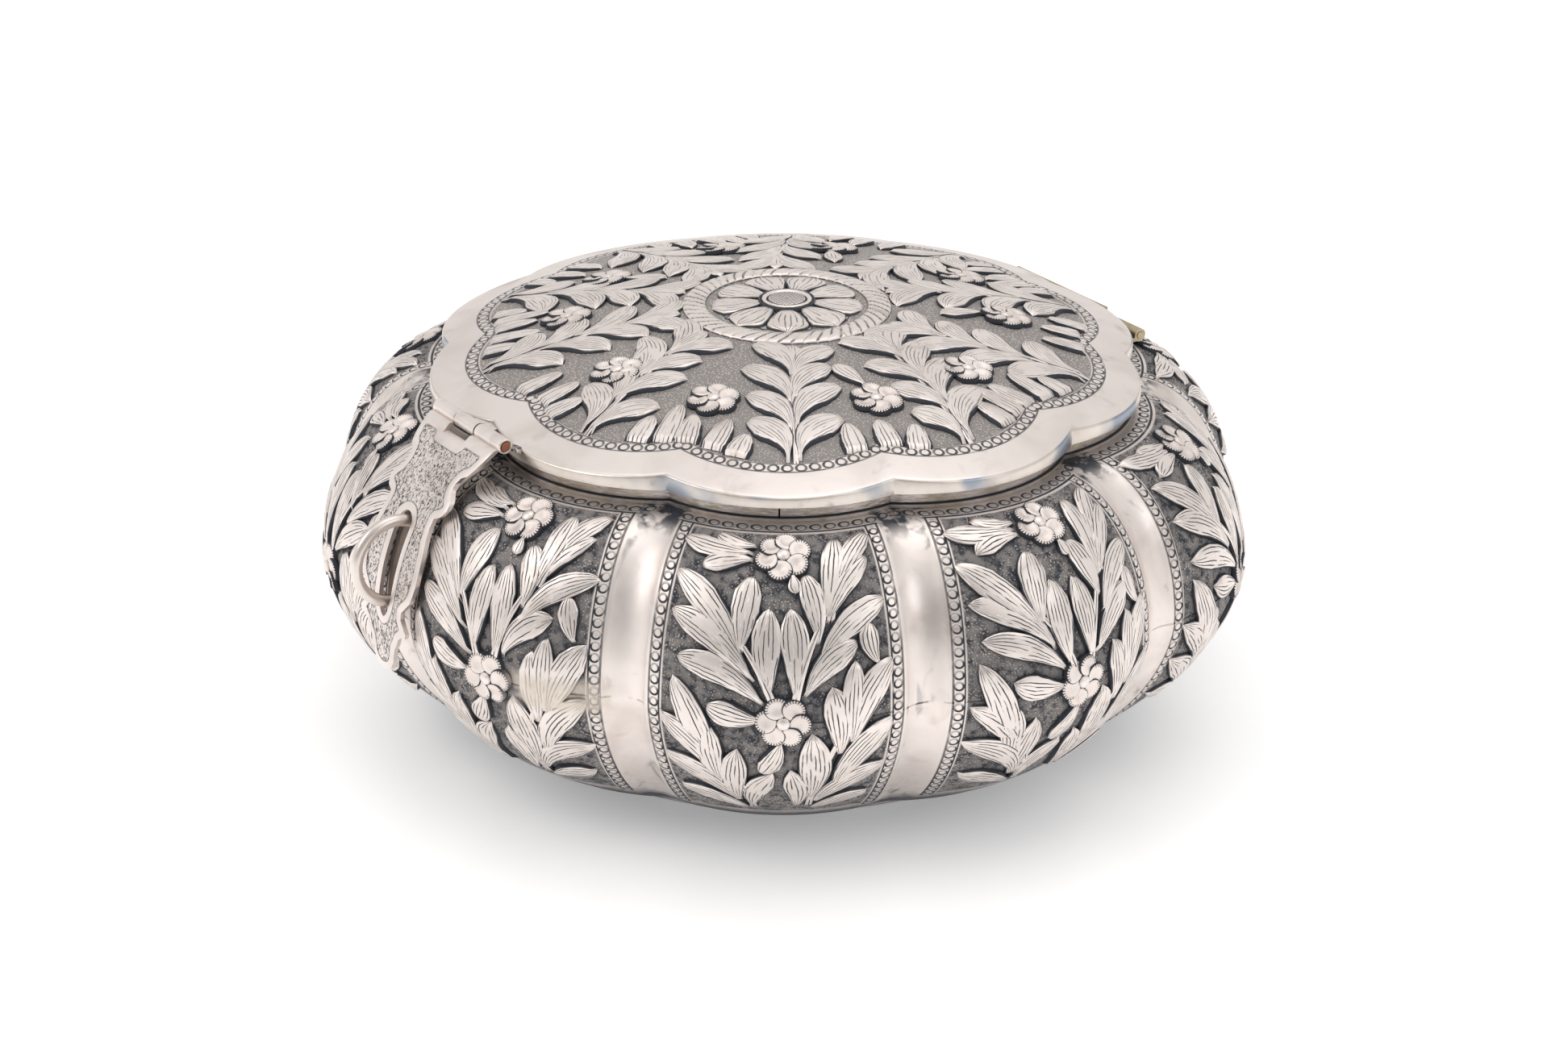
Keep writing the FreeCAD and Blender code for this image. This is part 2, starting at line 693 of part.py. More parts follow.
def build_rear_hinge(lid_stock):
    """Five knuckles: three stand on a leaf on the shoulder, two hang from a leaf on the lid's lip."""
    neck_stock = scalloped_prism(
        "neck_seat", NECK_ARC, "Sizes.shoulder_height - 1", "Sizes.neck_height + 2"
    )
    inner_y = REAR_Y + " - Sizes.rear_knuckle_radius - Sizes.knuckle_relief * 2"
    root = LOBE_REACH + " - Sizes.leaf_root"
    low = "Sizes.shoulder_height + Sizes.neck_step_height"
    body_pieces = [
        block(
            "body_leaf_strip",
            ("-2.5 * Sizes.rear_knuckle_length + Sizes.knuckle_gap / 2", root, low),
            (
                "2.5 * Sizes.rear_knuckle_length - Sizes.knuckle_gap / 2",
                inner_y,
                low + " + Sizes.leaf_sheet",
            ),
        )
    ]
    bores = []
    for index in (0, 2, 4):
        start, end = rear_span(index)
        outer, inner = rear_knuckle("body_knuckle_%d" % index, index)
        tongue = block(
            "body_tongue_%d" % index,
            (start, root, low),
            (end, REAR_Y, low + " + Sizes.leaf_sheet"),
        )
        body_pieces += [outer, tongue]
        bores.append(inner)
    body_leaf_stock = cut("body_leaf_stock", fuse("body_leaf_solid", body_pieces), neck_stock)
    body_leaf = cut("rear_hinge_body_leaf", body_leaf_stock, fuse("body_leaf_bores", bores))

    outer_y = REAR_Y + " - Sizes.rear_knuckle_radius + Sizes.leaf_sheet"
    foot = "Sizes.shoulder_height + Sizes.lid_leaf_above_shoulder"
    top = foot + " + Sizes.lid_leaf_height"
    lid_pieces = [
        block(
            "lid_leaf_strip",
            (
                "-1.5 * Sizes.rear_knuckle_length + Sizes.knuckle_gap / 2",
                root,
                foot,
            ),
            ("1.5 * Sizes.rear_knuckle_length - Sizes.knuckle_gap / 2", outer_y, top),
        )
    ]
    bores = []
    for index in (1, 3):
        start, end = rear_span(index)
        outer, inner = rear_knuckle("lid_knuckle_%d" % index, index)
        tongue = block(
            "lid_tongue_%d" % index,
            (start, REAR_Y + " - Sizes.rear_knuckle_radius", REAR_Z),
            (end, outer_y, top),
        )
        lid_pieces += [outer, tongue]
        bores.append(inner)
    lid_leaf_stock = cut("lid_leaf_stock", fuse("lid_leaf_solid", lid_pieces), lid_stock)
    lid_leaf = cut("rear_hinge_lid_leaf", lid_leaf_stock, fuse("lid_leaf_bores", bores))

    pin = primitive(
        "Cylinder",
        "rear_hinge_pin",
        (1, 0, 0),
        Radius="Sizes.rear_pin_radius",
        Height="5 * Sizes.rear_knuckle_length",
        at_x="-2.5 * Sizes.rear_knuckle_length",
        at_y=REAR_Y,
        at_z=REAR_Z,
    )
    return [body_leaf, lid_leaf, pin]


def front_tube(name, start, end):
    """A knuckle of the hasp's hinge between two places along X."""
    return knuckle_tube(
        name,
        start,
        "(%s) - (%s)" % (end, start),
        "Sizes.front_knuckle_radius",
        "Sizes.front_pin_radius + Sizes.pin_clearance",
        "-(%s)" % FRONT_Y,
        FRONT_Z,
    )


def hasp_bend():
    """Radius and centre of the hasp's bend: it leaves the barrel and ends upright at the belly."""
    low_y = size("belly_radius") - size("hasp_behind_belly")
    low_z = size("belly_height") - size("hasp_straight_below_belly")
    front_y = size("lobe_centre_radius") + size("lid_arc") + size("front_axis_reach")
    out = low_y - front_y - size("hasp_outside_barrel")
    up = size("shoulder_height") + size("front_axis_above_shoulder") - low_z
    radius = (out ** 2 + up ** 2) / (2 * out)
    return radius, FreeCAD.Vector(radius - low_y, low_z, 0)


def hasp_sheet_strip():
    """The bent strip that the hasp is cut from: an arc over the shoulder, then a straight drop."""
    body = doc.addObject("PartDesign::Body", "hasp_strip")
    sketch = sketch_on(body, "hasp_side_view", "YZ_Plane")
    radius, centre = hasp_bend()
    inner = radius - size("hasp_sheet") / 2
    outer = radius + size("hasp_sheet") / 2
    axis_z = size("shoulder_height") + size("front_axis_above_shoulder")
    low = size("belly_height") - size("hasp_tip_below_belly")

    def arc_end(arc_radius):
        rise = axis_z - centre.y
        return centre + FreeCAD.Vector(-math.sqrt(arc_radius ** 2 - rise ** 2), rise, 0)

    normal = FreeCAD.Vector(0, 0, 1)
    for arc_radius in (inner, outer):
        end = arc_end(arc_radius) - centre
        circle = Part.Circle(centre, normal, arc_radius)
        sketch.addGeometry(Part.ArcOfCircle(circle, math.atan2(end.y, end.x), math.pi))
    foot = [FreeCAD.Vector(centre.x - arc_radius, low, 0) for arc_radius in (inner, outer)]
    level = [FreeCAD.Vector(point.x, centre.y, 0) for point in foot]
    sketch.addGeometry(Part.LineSegment(level[0], foot[0]))
    sketch.addGeometry(Part.LineSegment(level[1], foot[1]))
    sketch.addGeometry(Part.LineSegment(foot[0], foot[1]))
    sketch.addGeometry(Part.LineSegment(arc_end(inner), arc_end(outer)))
    joins = [((0, 2), (2, 1)), ((1, 2), (3, 1)), ((2, 2), (4, 1)), ((3, 2), (4, 2)), ((5, 1), (0, 1))]
    for first, second in joins + [((5, 2), (1, 1)), ((0, 3), (1, 3))]:
        sketch.addConstraint(Sketcher.Constraint("Coincident", *first, *second))
    sketch.addConstraint(Sketcher.Constraint("Vertical", 2))
    sketch.addConstraint(Sketcher.Constraint("Vertical", 3))
    sketch.addConstraint(Sketcher.Constraint("Horizontal", 4))
    sketch.addConstraint(Sketcher.Constraint("Horizontal", 5))
    sketch.addConstraint(Sketcher.Constraint("Horizontal", 0, 2, 0, 3))
    out = "(Sizes.belly_radius - Sizes.hasp_behind_belly - (%s) - Sizes.hasp_outside_barrel)" % FRONT_Y
    low_z = "Sizes.belly_height - Sizes.hasp_straight_below_belly"
    bend = "((%s^2 + (%s - (%s))^2) / (2 * %s))" % (out, FRONT_Z, low_z, out)
    reach = "Sizes.belly_radius - Sizes.hasp_behind_belly"
    tip = "Sizes.belly_height - Sizes.hasp_tip_below_belly"
    driven = [
        (Sketcher.Constraint("DistanceX", 0, 3, -1, 1, -centre.x), reach + " - " + bend),
        (Sketcher.Constraint("DistanceY", -1, 1, 0, 3, centre.y), low_z),
        (Sketcher.Constraint("Radius", 0, inner), bend + " - Sizes.hasp_sheet / 2"),
        (Sketcher.Constraint("Radius", 1, outer), bend + " + Sizes.hasp_sheet / 2"),
        (Sketcher.Constraint("DistanceY", -1, 1, 2, 2, low), tip),
        (Sketcher.Constraint("DistanceY", -1, 1, 5, 1, axis_z), FRONT_Z),
    ]
    for constraint, expression in driven:
        index = sketch.addConstraint(constraint)
        sketch.setExpression("Constraints[%d]" % index, expression)
    pad(body, "hasp_strip_pad", sketch, Length="4 * Sizes.front_barrel_half").Midplane = True
    return body


def hasp_outline():
    """The hasp's front view, padded front to back: its cut edge, less the slot for the staple."""
    low = size("belly_height") - size("hasp_tip_below_belly")
    high = size("shoulder_height") + size("front_axis_above_shoulder")
    right = [FreeCAD.Vector(x, 0, low + share * (high - low)) for x, share in HASP_CORNERS]
    left = [FreeCAD.Vector(-point.x, 0, point.z) for point in reversed(right)]
    edges = [Part.LineSegment(a, b).toShape() for a, b in zip(right, right[1:])]
    edges.append(Part.Arc(right[-1], FreeCAD.Vector(0, 0, low), left[0]).toShape())
    edges += [Part.LineSegment(a, b).toShape() for a, b in zip(left, left[1:])]
    edges.append(Part.LineSegment(left[-1], right[0]).toShape())
    outline = Part.Face(Part.Wire(edges))

    half = size("hasp_slot_width") / 2
    staple = size("belly_height") + size("staple_above_belly")
    top = staple + size("hasp_slot_above_staple")
    bottom = staple - size("hasp_slot_below_staple")
    narrow = bottom + 2 * half - 0.6
    corners = [(half, top - half), (half * 0.9, narrow), (0, bottom)]
    corners += [(-x, z) for x, z in reversed(corners[:2])]
    points = [FreeCAD.Vector(x, 0, z) for x, z in corners]
    bow = [FreeCAD.Vector(side * half * 0.62, 0, bottom + 1.75) for side in (1, -1)]
    slot_edges = [
        Part.LineSegment(points[0], points[1]).toShape(),
        Part.Arc(points[1], bow[0], points[2]).toShape(),
        Part.Arc(points[2], bow[1], points[3]).toShape(),
        Part.LineSegment(points[3], points[4]).toShape(),
        Part.Arc(points[4], FreeCAD.Vector(0, 0, top), points[0]).toShape(),
    ]
    slot = Part.Face(Part.Wire(slot_edges))
    deep = FreeCAD.Vector(0, -2 * size("belly_radius"), 0)
    feature = doc.addObject("Part::Feature", "hasp_front_view")
    feature.Shape = outline.extrude(deep).cut(slot.extrude(deep))
    return feature


def build_hasp(lid_stock):
    """The hasp with its two outer knuckles, the lid's middle knuckle on its tab, and the pin."""
    left = "-Sizes.front_barrel_half"
    right = "Sizes.front_barrel_half"
    lid_left = "-Sizes.front_lid_knuckle_left"
    lid_right = "Sizes.front_lid_knuckle_right"
    left_outer, left_bore = front_tube("hasp_left_knuckle", left, lid_left + " - Sizes.knuckle_gap")
    right_outer, right_bore = front_tube("hasp_right_knuckle", lid_right + " + Sizes.knuckle_gap", right)
    plate = common("hasp_plate_blank", hasp_sheet_strip(), hasp_outline())
    clear = primitive(
        "Cylinder",
        "lid_knuckle_room",
        (1, 0, 0),
        Radius="Sizes.front_knuckle_radius + Sizes.knuckle_relief",
        Height="%s - (%s) + 2 * Sizes.knuckle_gap" % (lid_right, lid_left),
        at_x=lid_left + " - Sizes.knuckle_gap",
        at_y="-(%s)" % FRONT_Y,
        at_z=FRONT_Z,
    )
    bore = primitive(
        "Cylinder",
        "hasp_bore",
        (1, 0, 0),
        Radius="Sizes.front_pin_radius + Sizes.pin_clearance",
        Height="4 * Sizes.front_barrel_half",
        at_x="-2 * Sizes.front_barrel_half",
        at_y="-(%s)" % FRONT_Y,
        at_z=FRONT_Z,
    )
    solid = fuse("hasp_solid", [cut("hasp_plate_relieved", plate, clear), left_outer, right_outer])
    hasp = cut("hasp", solid, bore)

    middle, middle_bore = front_tube("lid_middle_knuckle", lid_left, lid_right)
    tab_foot = FRONT_Z + " - Sizes.front_knuckle_radius"
    tab = block(
        "lid_knuckle_tab",
        (lid_left, "-(%s)" % FRONT_Y, tab_foot),
        (lid_right, "-(%s - Sizes.leaf_root)" % LOBE_REACH, tab_foot + " + Sizes.front_tab_sheet"),
    )
    seated = cut("lid_knuckle_seated", fuse("lid_knuckle_solid", [middle, tab]), lid_stock)
    knuckle = cut("hasp_hinge_lid_knuckle", seated, middle_bore)
    pin = primitive(
        "Cylinder",
        "hasp_pin",
        (1, 0, 0),
        Radius="Sizes.front_pin_radius",
        Height="2 * Sizes.front_barrel_half",
        at_x=left,
        at_y="-(%s)" % FRONT_Y,
        at_z=FRONT_Z,
    )
    for unused in (left_bore, right_bore):
        doc.removeObject(unused.Name)
    return [hasp, knuckle, pin]


def build_staple():
    """A bent wire that stands out of the front flute, and its two legs by themselves."""
    turn = FreeCAD.Rotation(FreeCAD.Vector(1, 0, 0), 180 - size("staple_lean"))
    turn = turn * FreeCAD.Rotation(FreeCAD.Vector(0, 1, 0), 90)
    ring = doc.addObject("Part::Torus", "staple_bend")
    ring.Placement = FreeCAD.Placement(FreeCAD.Vector(0, 0, 0), turn)
    bind(
        ring,
        Radius1="Sizes.staple_ring_radius",
        Radius2="Sizes.staple_wire_radius",
        Angle3="180 + Sizes.staple_lean",
        at_y="-(%s)" % STAPLE_Y,
        at_z=STAPLE_Z,
    )
    lean = math.radians(size("staple_lean"))
    upper = primitive(
        "Cylinder",
        "staple_upper_leg",
        (0, math.cos(lean), -math.sin(lean)),
        Radius="Sizes.staple_wire_radius",
        Height="Sizes.staple_leg",
        at_y="-(%s) + Sizes.staple_ring_radius * sin(Sizes.staple_lean * 1 deg)" % STAPLE_Y,
        at_z=STAPLE_Z + " + Sizes.staple_ring_radius * cos(Sizes.staple_lean * 1 deg)",
    )
    lower = primitive(
        "Cylinder",
        "staple_lower_leg",
        (0, 1, 0),
        Radius="Sizes.staple_wire_radius",
        Height="Sizes.staple_leg",
        at_y="-(%s)" % STAPLE_Y,
        at_z=STAPLE_Z + " - Sizes.staple_ring_radius",
    )
    return fuse("staple_stock", [ring, upper, lower]), fuse("staple_legs", [upper, lower])


def export(pieces):
    """Check every object and piece, then write each piece's solid to its own file."""
    doc.recompute()
    for thing in doc.Objects:
        if "Invalid" in thing.State or "Error" in thing.State:
            raise RuntimeError("%s did not build: %s" % (thing.Label, thing.State))
    os.makedirs("parts", exist_ok=True)
    for piece in pieces:
        shape = piece.Shape
        if shape.isNull() or not shape.isValid():
            raise RuntimeError("%s has no sound shape" % piece.Label)
        shape.exportStep("parts/%s.step" % piece.Label)
        print(piece.Label, "solids", len(shape.Solids), "volume %.1f" % shape.Volume)


staple_stock, staple_legs = build_staple()
lid_pieces, lid_stock = build_lid()
pieces = build_body(staple_stock, staple_legs) + build_neck()
pieces += lid_pieces + build_rear_hinge(lid_stock) + build_hasp(lid_stock)
export(pieces)
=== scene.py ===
"""Silver lidded box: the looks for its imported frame, laid out as a Blender add-on."""
import math
import random

import bpy
import numpy as np
from bpy.props import FloatProperty, FloatVectorProperty, IntProperty, PointerProperty
from mathutils import Matrix, Vector
from mathutils.geometry import delaunay_2d_cdt


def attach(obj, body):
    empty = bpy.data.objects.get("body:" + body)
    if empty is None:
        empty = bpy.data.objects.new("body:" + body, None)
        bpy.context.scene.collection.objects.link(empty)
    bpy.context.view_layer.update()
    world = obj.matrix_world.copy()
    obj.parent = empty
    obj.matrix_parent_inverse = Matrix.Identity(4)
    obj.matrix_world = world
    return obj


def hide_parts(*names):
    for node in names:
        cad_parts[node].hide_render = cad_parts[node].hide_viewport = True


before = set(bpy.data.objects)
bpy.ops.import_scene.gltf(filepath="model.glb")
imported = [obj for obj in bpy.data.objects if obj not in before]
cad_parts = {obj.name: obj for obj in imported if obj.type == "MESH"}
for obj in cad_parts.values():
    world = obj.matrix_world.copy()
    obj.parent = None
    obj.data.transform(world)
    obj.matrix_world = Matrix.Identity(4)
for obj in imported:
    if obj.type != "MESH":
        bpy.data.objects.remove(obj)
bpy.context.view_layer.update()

bl_info = {
    "name": "Silver Lidded Box",
    "version": (1, 0, 0),
    "blender": (4, 5, 0),
    "location": "View3D > Sidebar > Lidded Box",
    "description": "Chased silver walls, lid, hasp, hinges and the studio of a lobed lidded box",
    "category": "Add Mesh",
}

MM = 0.001
LOBES = 10
LOBE_TURN = 360 / LOBES
HALF_TURN_DEGREES = 18
HALF_TURN = math.pi / LOBES
WHOLE_TURN = 2 * math.pi
# Turn of the lobe that faces the camera
FRONT_LOBE = -36


def length(name, description, default):
    """A length in metres, given here in millimetres."""
    return FloatProperty(
        name=name, description=description, default=default * MM, unit="LENGTH", precision=5
    )


def colour(name, description, default):
    """A linear colour."""
    return FloatVectorProperty(
        name=name, description=description, default=default, subtype="COLOR", size=3, min=0, max=1
    )


class BoxWallSizes(bpy.types.PropertyGroup):
    """The raised wall of the body."""
    belly_radius: length("Belly radius", "Crest of a lobe at the solder seam", 101.4)
    belly_height: length("Belly height", "Height of the solder seam between the two halves", 40.4)
    shoulder_radius: length("Shoulder radius", "Crest of a lobe at the wall's top edge", 77.0)
    shoulder_height: length("Shoulder height", "Height of the wall's top edge", 72.3)
    foot_radius: length("Foot radius", "Crest of a lobe where the wall meets the base", 61.5)
    base_thickness: length("Base thickness", "The disc under the lobes", 1.5)
    sheet: length("Sheet", "Thickness of the raised silver", 1.0)
    flute_half: length("Flute half width", "From a flute's middle to its edge", 4.6)
    relief: length("Relief", "How far the leaves stand off the ground", 0.8)
    ground_sink: length("Ground sink", "How far the ground is beaten down behind the leaves", 0.25)
    ring_pitch: length("Ring pitch", "Spacing of the punched rings beside the flutes", 2.35)


class BoxLidSizes(bpy.types.PropertyGroup):
    """The domed lid."""
    lobe_centre: length("Lobe centre", "From the axis to the middle of each scallop", 41.2)
    lid_arc: length("Lid scallop", "Radius of each scallop of the lid", 36.7)
    edge_height: length("Edge height", "Top of the lid's edge at a scallop's crest", 78.1)
    lip_height: length("Lip height", "Bottom of the lid's lip", 75.9)
    rise: length("Rise", "Height of the dome above its edge", 12.0)
    sheet: length("Sheet", "Thickness of the lid", 1.0)
    relief: length("Relief", "How far the lid's leaves stand off the ground", 0.7)
    ring_arc: length("Ring row", "Radius of each scallop of the row of punched rings", 27.7)
    ground_arc: length("Ground edge", "Radius of each scallop of the chased field", 26.4)


class BoxColours(bpy.types.PropertyGroup):
    """Metal colours."""
    silver: colour("Silver", "Polished high spots", (0.88, 0.80, 0.755))
    silver_dull: colour("Dull silver", "Where the polish has gone", (0.66, 0.585, 0.54))
    silver_warm: colour("Warm silver", "Yellowish tarnish on the neck", (0.50, 0.43, 0.32))
    # Blue-grey tarnish, also laid on as painted shade in corners, along leaf edges and low on the
    # body
    tarnish_and_shade: colour("Tarnish", "Blue-grey in lines and recesses", (0.050, 0.054, 0.066))
    ground: colour("Ground", "Stippled ground behind the leaves", (0.34, 0.315, 0.30))
    brown: colour("Brown stain", "Thin brown tarnish", (0.30, 0.22, 0.16))
    blue: colour("Blue stain", "Heat-blue tarnish on the lip", (0.16, 0.24, 0.34))
    brass: colour("Brass", "Rear hinge", (0.50, 0.41, 0.27))
    copper: colour("Copper", "Hasp pin", (0.45, 0.20, 0.12))


class BoxStageSizes(bpy.types.PropertyGroup):
    """Camera and studio."""
    camera_distance: length("Camera distance", "From the lid's edge plane to the camera", 800.0)
    camera_azimuth: FloatProperty(name="Azimuth", description="Camera turn", default=54.8)
    camera_elevation: FloatProperty(name="Elevation", description="Camera tilt", default=21.5)
    lens_pixels: FloatProperty(name="Lens", description="In photograph pixels", default=4576.0)
    photo_width: IntProperty(name="Photo width", description="Its pixels across", default=1944)


def sizes(group):
    """The scene's values of one property group."""
    return getattr(bpy.context.scene, group)


def millimetres(group, *names):
    """Several of a group's lengths in millimetres."""
    values = sizes(group)
    return [getattr(values, name) / MM for name in names]


# Wall of the body: how full its lower half is, how far a lobe's crest stands over the edges of its
# flutes at the belly, and how deep a flute is there
FULLNESS = 1.6
LOBE_FALL = 4.2
FLUTE_DEPTH = 1.8


def half_chord(radius, centre, turn):
    """Half of what a ray from the axis cuts from a circle whose middle stands off the axis."""
    return np.sqrt(np.maximum(0, radius ** 2 - (centre * np.sin(turn)) ** 2))


class Wall:
    """The body's lobed wall, addressed by turn from a lobe's middle and rise along its crest."""

    def __init__(self):
        belly, height, shoulder, top, foot, floor = millimetres(
            "box_wall", "belly_radius", "belly_height", "shoulder_radius",
            "shoulder_height", "foot_radius", "base_thickness",
        )
        share = 1 - np.linspace(1, 0, 300) ** 2
        lower_radius = foot + (belly - foot) * (1 - share ** FULLNESS) ** (1 / FULLNESS)
        lower_height = height - (height - floor) * share
        angle = np.linspace(0, math.pi / 2, 300)
        upper_radius = shoulder + (belly - shoulder) * np.cos(angle)
        upper_height = height + (top - height) * np.sin(angle)
        self.crests = np.concatenate([lower_radius[::-1], upper_radius[1:]])
        self.heights = np.concatenate([lower_height[::-1], upper_height[1:]])
        shares = np.concatenate([-share[::-1], np.sin(angle)[1:]])
        steps = np.hypot(np.diff(self.crests), np.diff(self.heights))
        rises = np.concatenate([[0], np.cumsum(steps)])
        self.rises = rises - rises[len(share) - 1]
        self.falls = LOBE_FALL - np.where(shares > 0, 1.4, 2.5) * shares ** 2
        self.depths = FLUTE_DEPTH - np.where(shares > 0, 0.2, 1.0) * shares ** 2
        self.flute_half = millimetres("box_wall", "flute_half")[0]
        self.lowest = float(self.rises[0])
        self.highest = float(self.rises[-1])

    def profile(self, rise):
        """Crest radius, height, fall to the flute's edge and flute depth at a rise."""
        rows = self.crests, self.heights, self.falls, self.depths
        return [np.interp(rise, self.rises, row) for row in rows]

    def point(self, turn, rise, inset=0.0):
        """Points of the wall for turns in radians from a lobe's middle."""
        crest, height, fall, depth = self.profile(rise)
        edge = crest - fall
        spread = self.flute_half / edge
        side = np.abs(turn)
        # Lobe: a circle through the two flute edges and the crest
        edge_x = edge * np.cos(HALF_TURN - spread)
        edge_y = edge * np.sin(HALF_TURN - spread)
        centre = (crest ** 2 - edge_x ** 2 - edge_y ** 2) / (2 * (crest - edge_x))
        bow = crest - centre
        lobe = centre * np.cos(side) + half_chord(bow, centre, side)
        # Flute: a hollow circle through its two edges and its bottom
        back = np.abs(HALF_TURN - side)
        flute_x = edge * np.cos(spread)
        flute_y = edge * np.sin(spread)
        bottom = edge - depth
        hollow = (flute_x ** 2 + flute_y ** 2 - bottom ** 2) / (2 * (flute_x - bottom))
        curve = hollow - bottom
        flute = hollow * np.cos(back) - half_chord(curve, hollow, back)
        radius = np.where(side <= HALF_TURN - spread, lobe, flute) - inset
        return np.stack([radius * np.cos(turn), radius * np.sin(turn), height + 0 * turn], axis=-1)

    def normal(self, turn, rise):
        """Outward normals there."""
        rise = np.clip(rise, self.lowest + 0.1, self.highest - 0.1)
        across = self.point(turn + 0.002, rise) - self.point(turn - 0.002, rise)
        along = self.point(turn, rise + 0.1) - self.point(turn, rise - 0.1)
        out = np.cross(across, along)
        return out / np.linalg.norm(out, axis=-1, keepdims=True)

    def spread_of(self, turn, rise):
        """Millimetres across the wall for each radian of turn, at one place."""
        return float(np.linalg.norm(self.point(np.array(turn), np.array(rise))[:2]))


def scallop(turn, arc):
    """Radius of a scalloped outline at a turn from a lobe's middle."""
    centre = millimetres("box_lid", "lobe_centre")[0]
    return centre * np.cos(turn) + half_chord(arc, centre, turn)


def scallop_place(points):
    """Distance from the nearest scallop's centre, and radians along its arc from its crest."""
    centre = millimetres("box_lid", "lobe_centre")[0]
    local = from_lobe_middle(np.arctan2(points[..., 1], points[..., 0]))
    radius = np.hypot(points[..., 0], points[..., 1])
    across = radius * np.cos(local) - centre
    up = radius * np.sin(local)
    return np.hypot(across, up), np.abs(np.arctan2(up, across))


def from_lobe_middle(turn):
    """What is left of a turn from the middle of the nearest lobe."""
    return turn - np.round(turn / (2 * HALF_TURN)) * 2 * HALF_TURN


def dome_height(radius):
    """Height of the lid's dome at a distance from its middle."""
    sizes_used = "lobe_centre", "lid_arc", "edge_height", "rise"
    centre, arc, edge, rise = millimetres("box_lid", *sizes_used)
    reach = centre + arc
    ball = (reach ** 2 + rise ** 2) / (2 * rise)
    return edge + rise - ball + np.sqrt(np.maximum(0, ball ** 2 - radius ** 2))


def smooth(low, high, value):
    """Smooth step from 0 to 1."""
    share = np.clip((value - low) / (high - low), 0, 1)
    return share * share * (3 - 2 * share)


class Sheetwork:
    """Collects grids of quads with their UV layers and finishes, and makes one object of them."""

    def __init__(self, name, layers):
        self.name = name
        self.layers = layers
        self.points = []
        self.faces = []
        self.uvs = {layer: [] for layer in layers}
        self.finishes = []
        self.count = 0

    def add(self, points, faces, uvs, finish=0):
        """Points (n, 3) in millimetres, quads (m, 4), UVs per point for each layer."""
        self.points.append(points.reshape(-1, 3))
        self.faces.append(faces + self.count)
        for layer in self.layers:
            self.uvs[layer].append(uvs[layer].reshape(-1, 2))
        self.finishes.append(np.full(len(faces), finish))
        self.count += len(self.points[-1])

    def add_grid(self, points, uvs, finish=0, closed=False):
        """A grid of points (rows, columns, 3), joined round its columns when closed."""
        self.add(points, grid_faces(*points.shape[:2], closed), uvs, finish)

    def make(self, materials, body, node=None, smooth_angle=35):
        """The finished object, riding on a body and standing for a node."""
        mesh = bpy.data.meshes.new(self.name)
        points = np.concatenate(self.points) * MM
        faces = np.concatenate(self.faces)
        mesh.from_pydata(points.tolist(), [], faces.tolist())
        loops = faces.ravel()
        for layer in self.layers:
            values = np.concatenate(self.uvs[layer])[loops]
            mesh.uv_layers.new(name=layer).data.foreach_set("uv", values.astype(np.float32).ravel())
        for material in materials:
            mesh.materials.append(material)
        mesh.polygons.foreach_set("material_index", np.concatenate(self.finishes).astype(np.int32))
        mesh.validate()
        thing = bpy.data.objects.new(self.name, mesh)
        bpy.context.scene.collection.objects.link(thing)
        shade_smooth(thing, smooth_angle)
        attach(thing, body)
        if node:
            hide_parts(node)
        return thing


def shade_smooth(thing, degrees):
    """Smooth shading with sharp edges kept sharp."""
    mesh = thing.data
    mesh.polygons.foreach_set("use_smooth", np.ones(len(mesh.polygons), dtype=bool))
    mesh.set_sharp_from_angle(angle=math.radians(degrees))
    mesh.update()


def grid_faces(rows, columns, closed=False):
    """Quads of a grid."""
    across = columns if closed else columns - 1
    row, column = np.meshgrid(np.arange(rows - 1), np.arange(across), indexing="ij")
    following = (column + 1) % columns
    corners = [row * columns + column, row * columns + following,
               (row + 1) * columns + following, (row + 1) * columns + column]
    return np.stack([corner.ravel() for corner in corners], axis=1)


def turned(points, degrees):
    """Points turned round the box's axis."""
    angle = math.radians(degrees)
    cos, sin = math.cos(angle), math.sin(angle)
    return points @ np.array([[cos, sin, 0], [-sin, cos, 0], [0, 0, 1]])


class Ground:
    """Where a piece of ornament lies: a plane drawing laid on the wall or on the dome."""

    def __init__(self, wall, middle_turn, middle_rise, degrees):
        self.wall = wall
        self.degrees = degrees
        spread = wall.spread_of(math.radians(middle_turn), middle_rise)
        self.spread = spread * math.pi / 180

    def plan(self, place):
        """A place (turn in degrees, rise) as millimetres in the drawing."""
        return np.array([place[0] * self.spread, place[1]])

    def lay(self, drawing, lift):
        """Drawing points (..., 2) lifted off the ground."""
        turn = np.radians(drawing[..., 0] / self.spread)
        rise = drawing[..., 1]
        points = self.wall.point(turn, rise) + self.wall.normal(turn, rise) * lift[..., None]
        return turned(points, self.degrees)


class DomeGround:
    """The same for the lid's dome, drawn in plan."""

    def __init__(self, degrees):
        self.degrees = degrees

    def plan(self, place):
        """A place (distance, turn in degrees) as millimetres in plan."""
        angle = math.radians(place[1])
        return np.array([place[0] * math.cos(angle), place[0] * math.sin(angle)])

    def lay(self, drawing, lift):
        """Drawing points lifted off the dome."""
        radius = np.hypot(drawing[..., 0], drawing[..., 1])
        height = dome_height(radius) + lift
        return turned(np.stack([drawing[..., 0], drawing[..., 1], height], axis=-1), self.degrees)


# A leaf's cross-section: places from one edge to the other, and how high it stands there
LEAF_ACROSS = np.array([-1.0, -0.92, -0.72, -0.36, 0.0, 0.36, 0.72, 0.92, 1.0])
LEAF_CROWN = np.array([-0.35, 0.74, 0.93, 0.99, 1.0, 0.99, 0.93, 0.74, -0.35])
# Finishes of the ornament, by their place in its list of materials
LEAF, PETAL, BOSS, ROSETTE_BOSS = range(4)
LEAF_ROWS = 15
DISC_SPOKES = 18
FLOWER_PETALS = 6
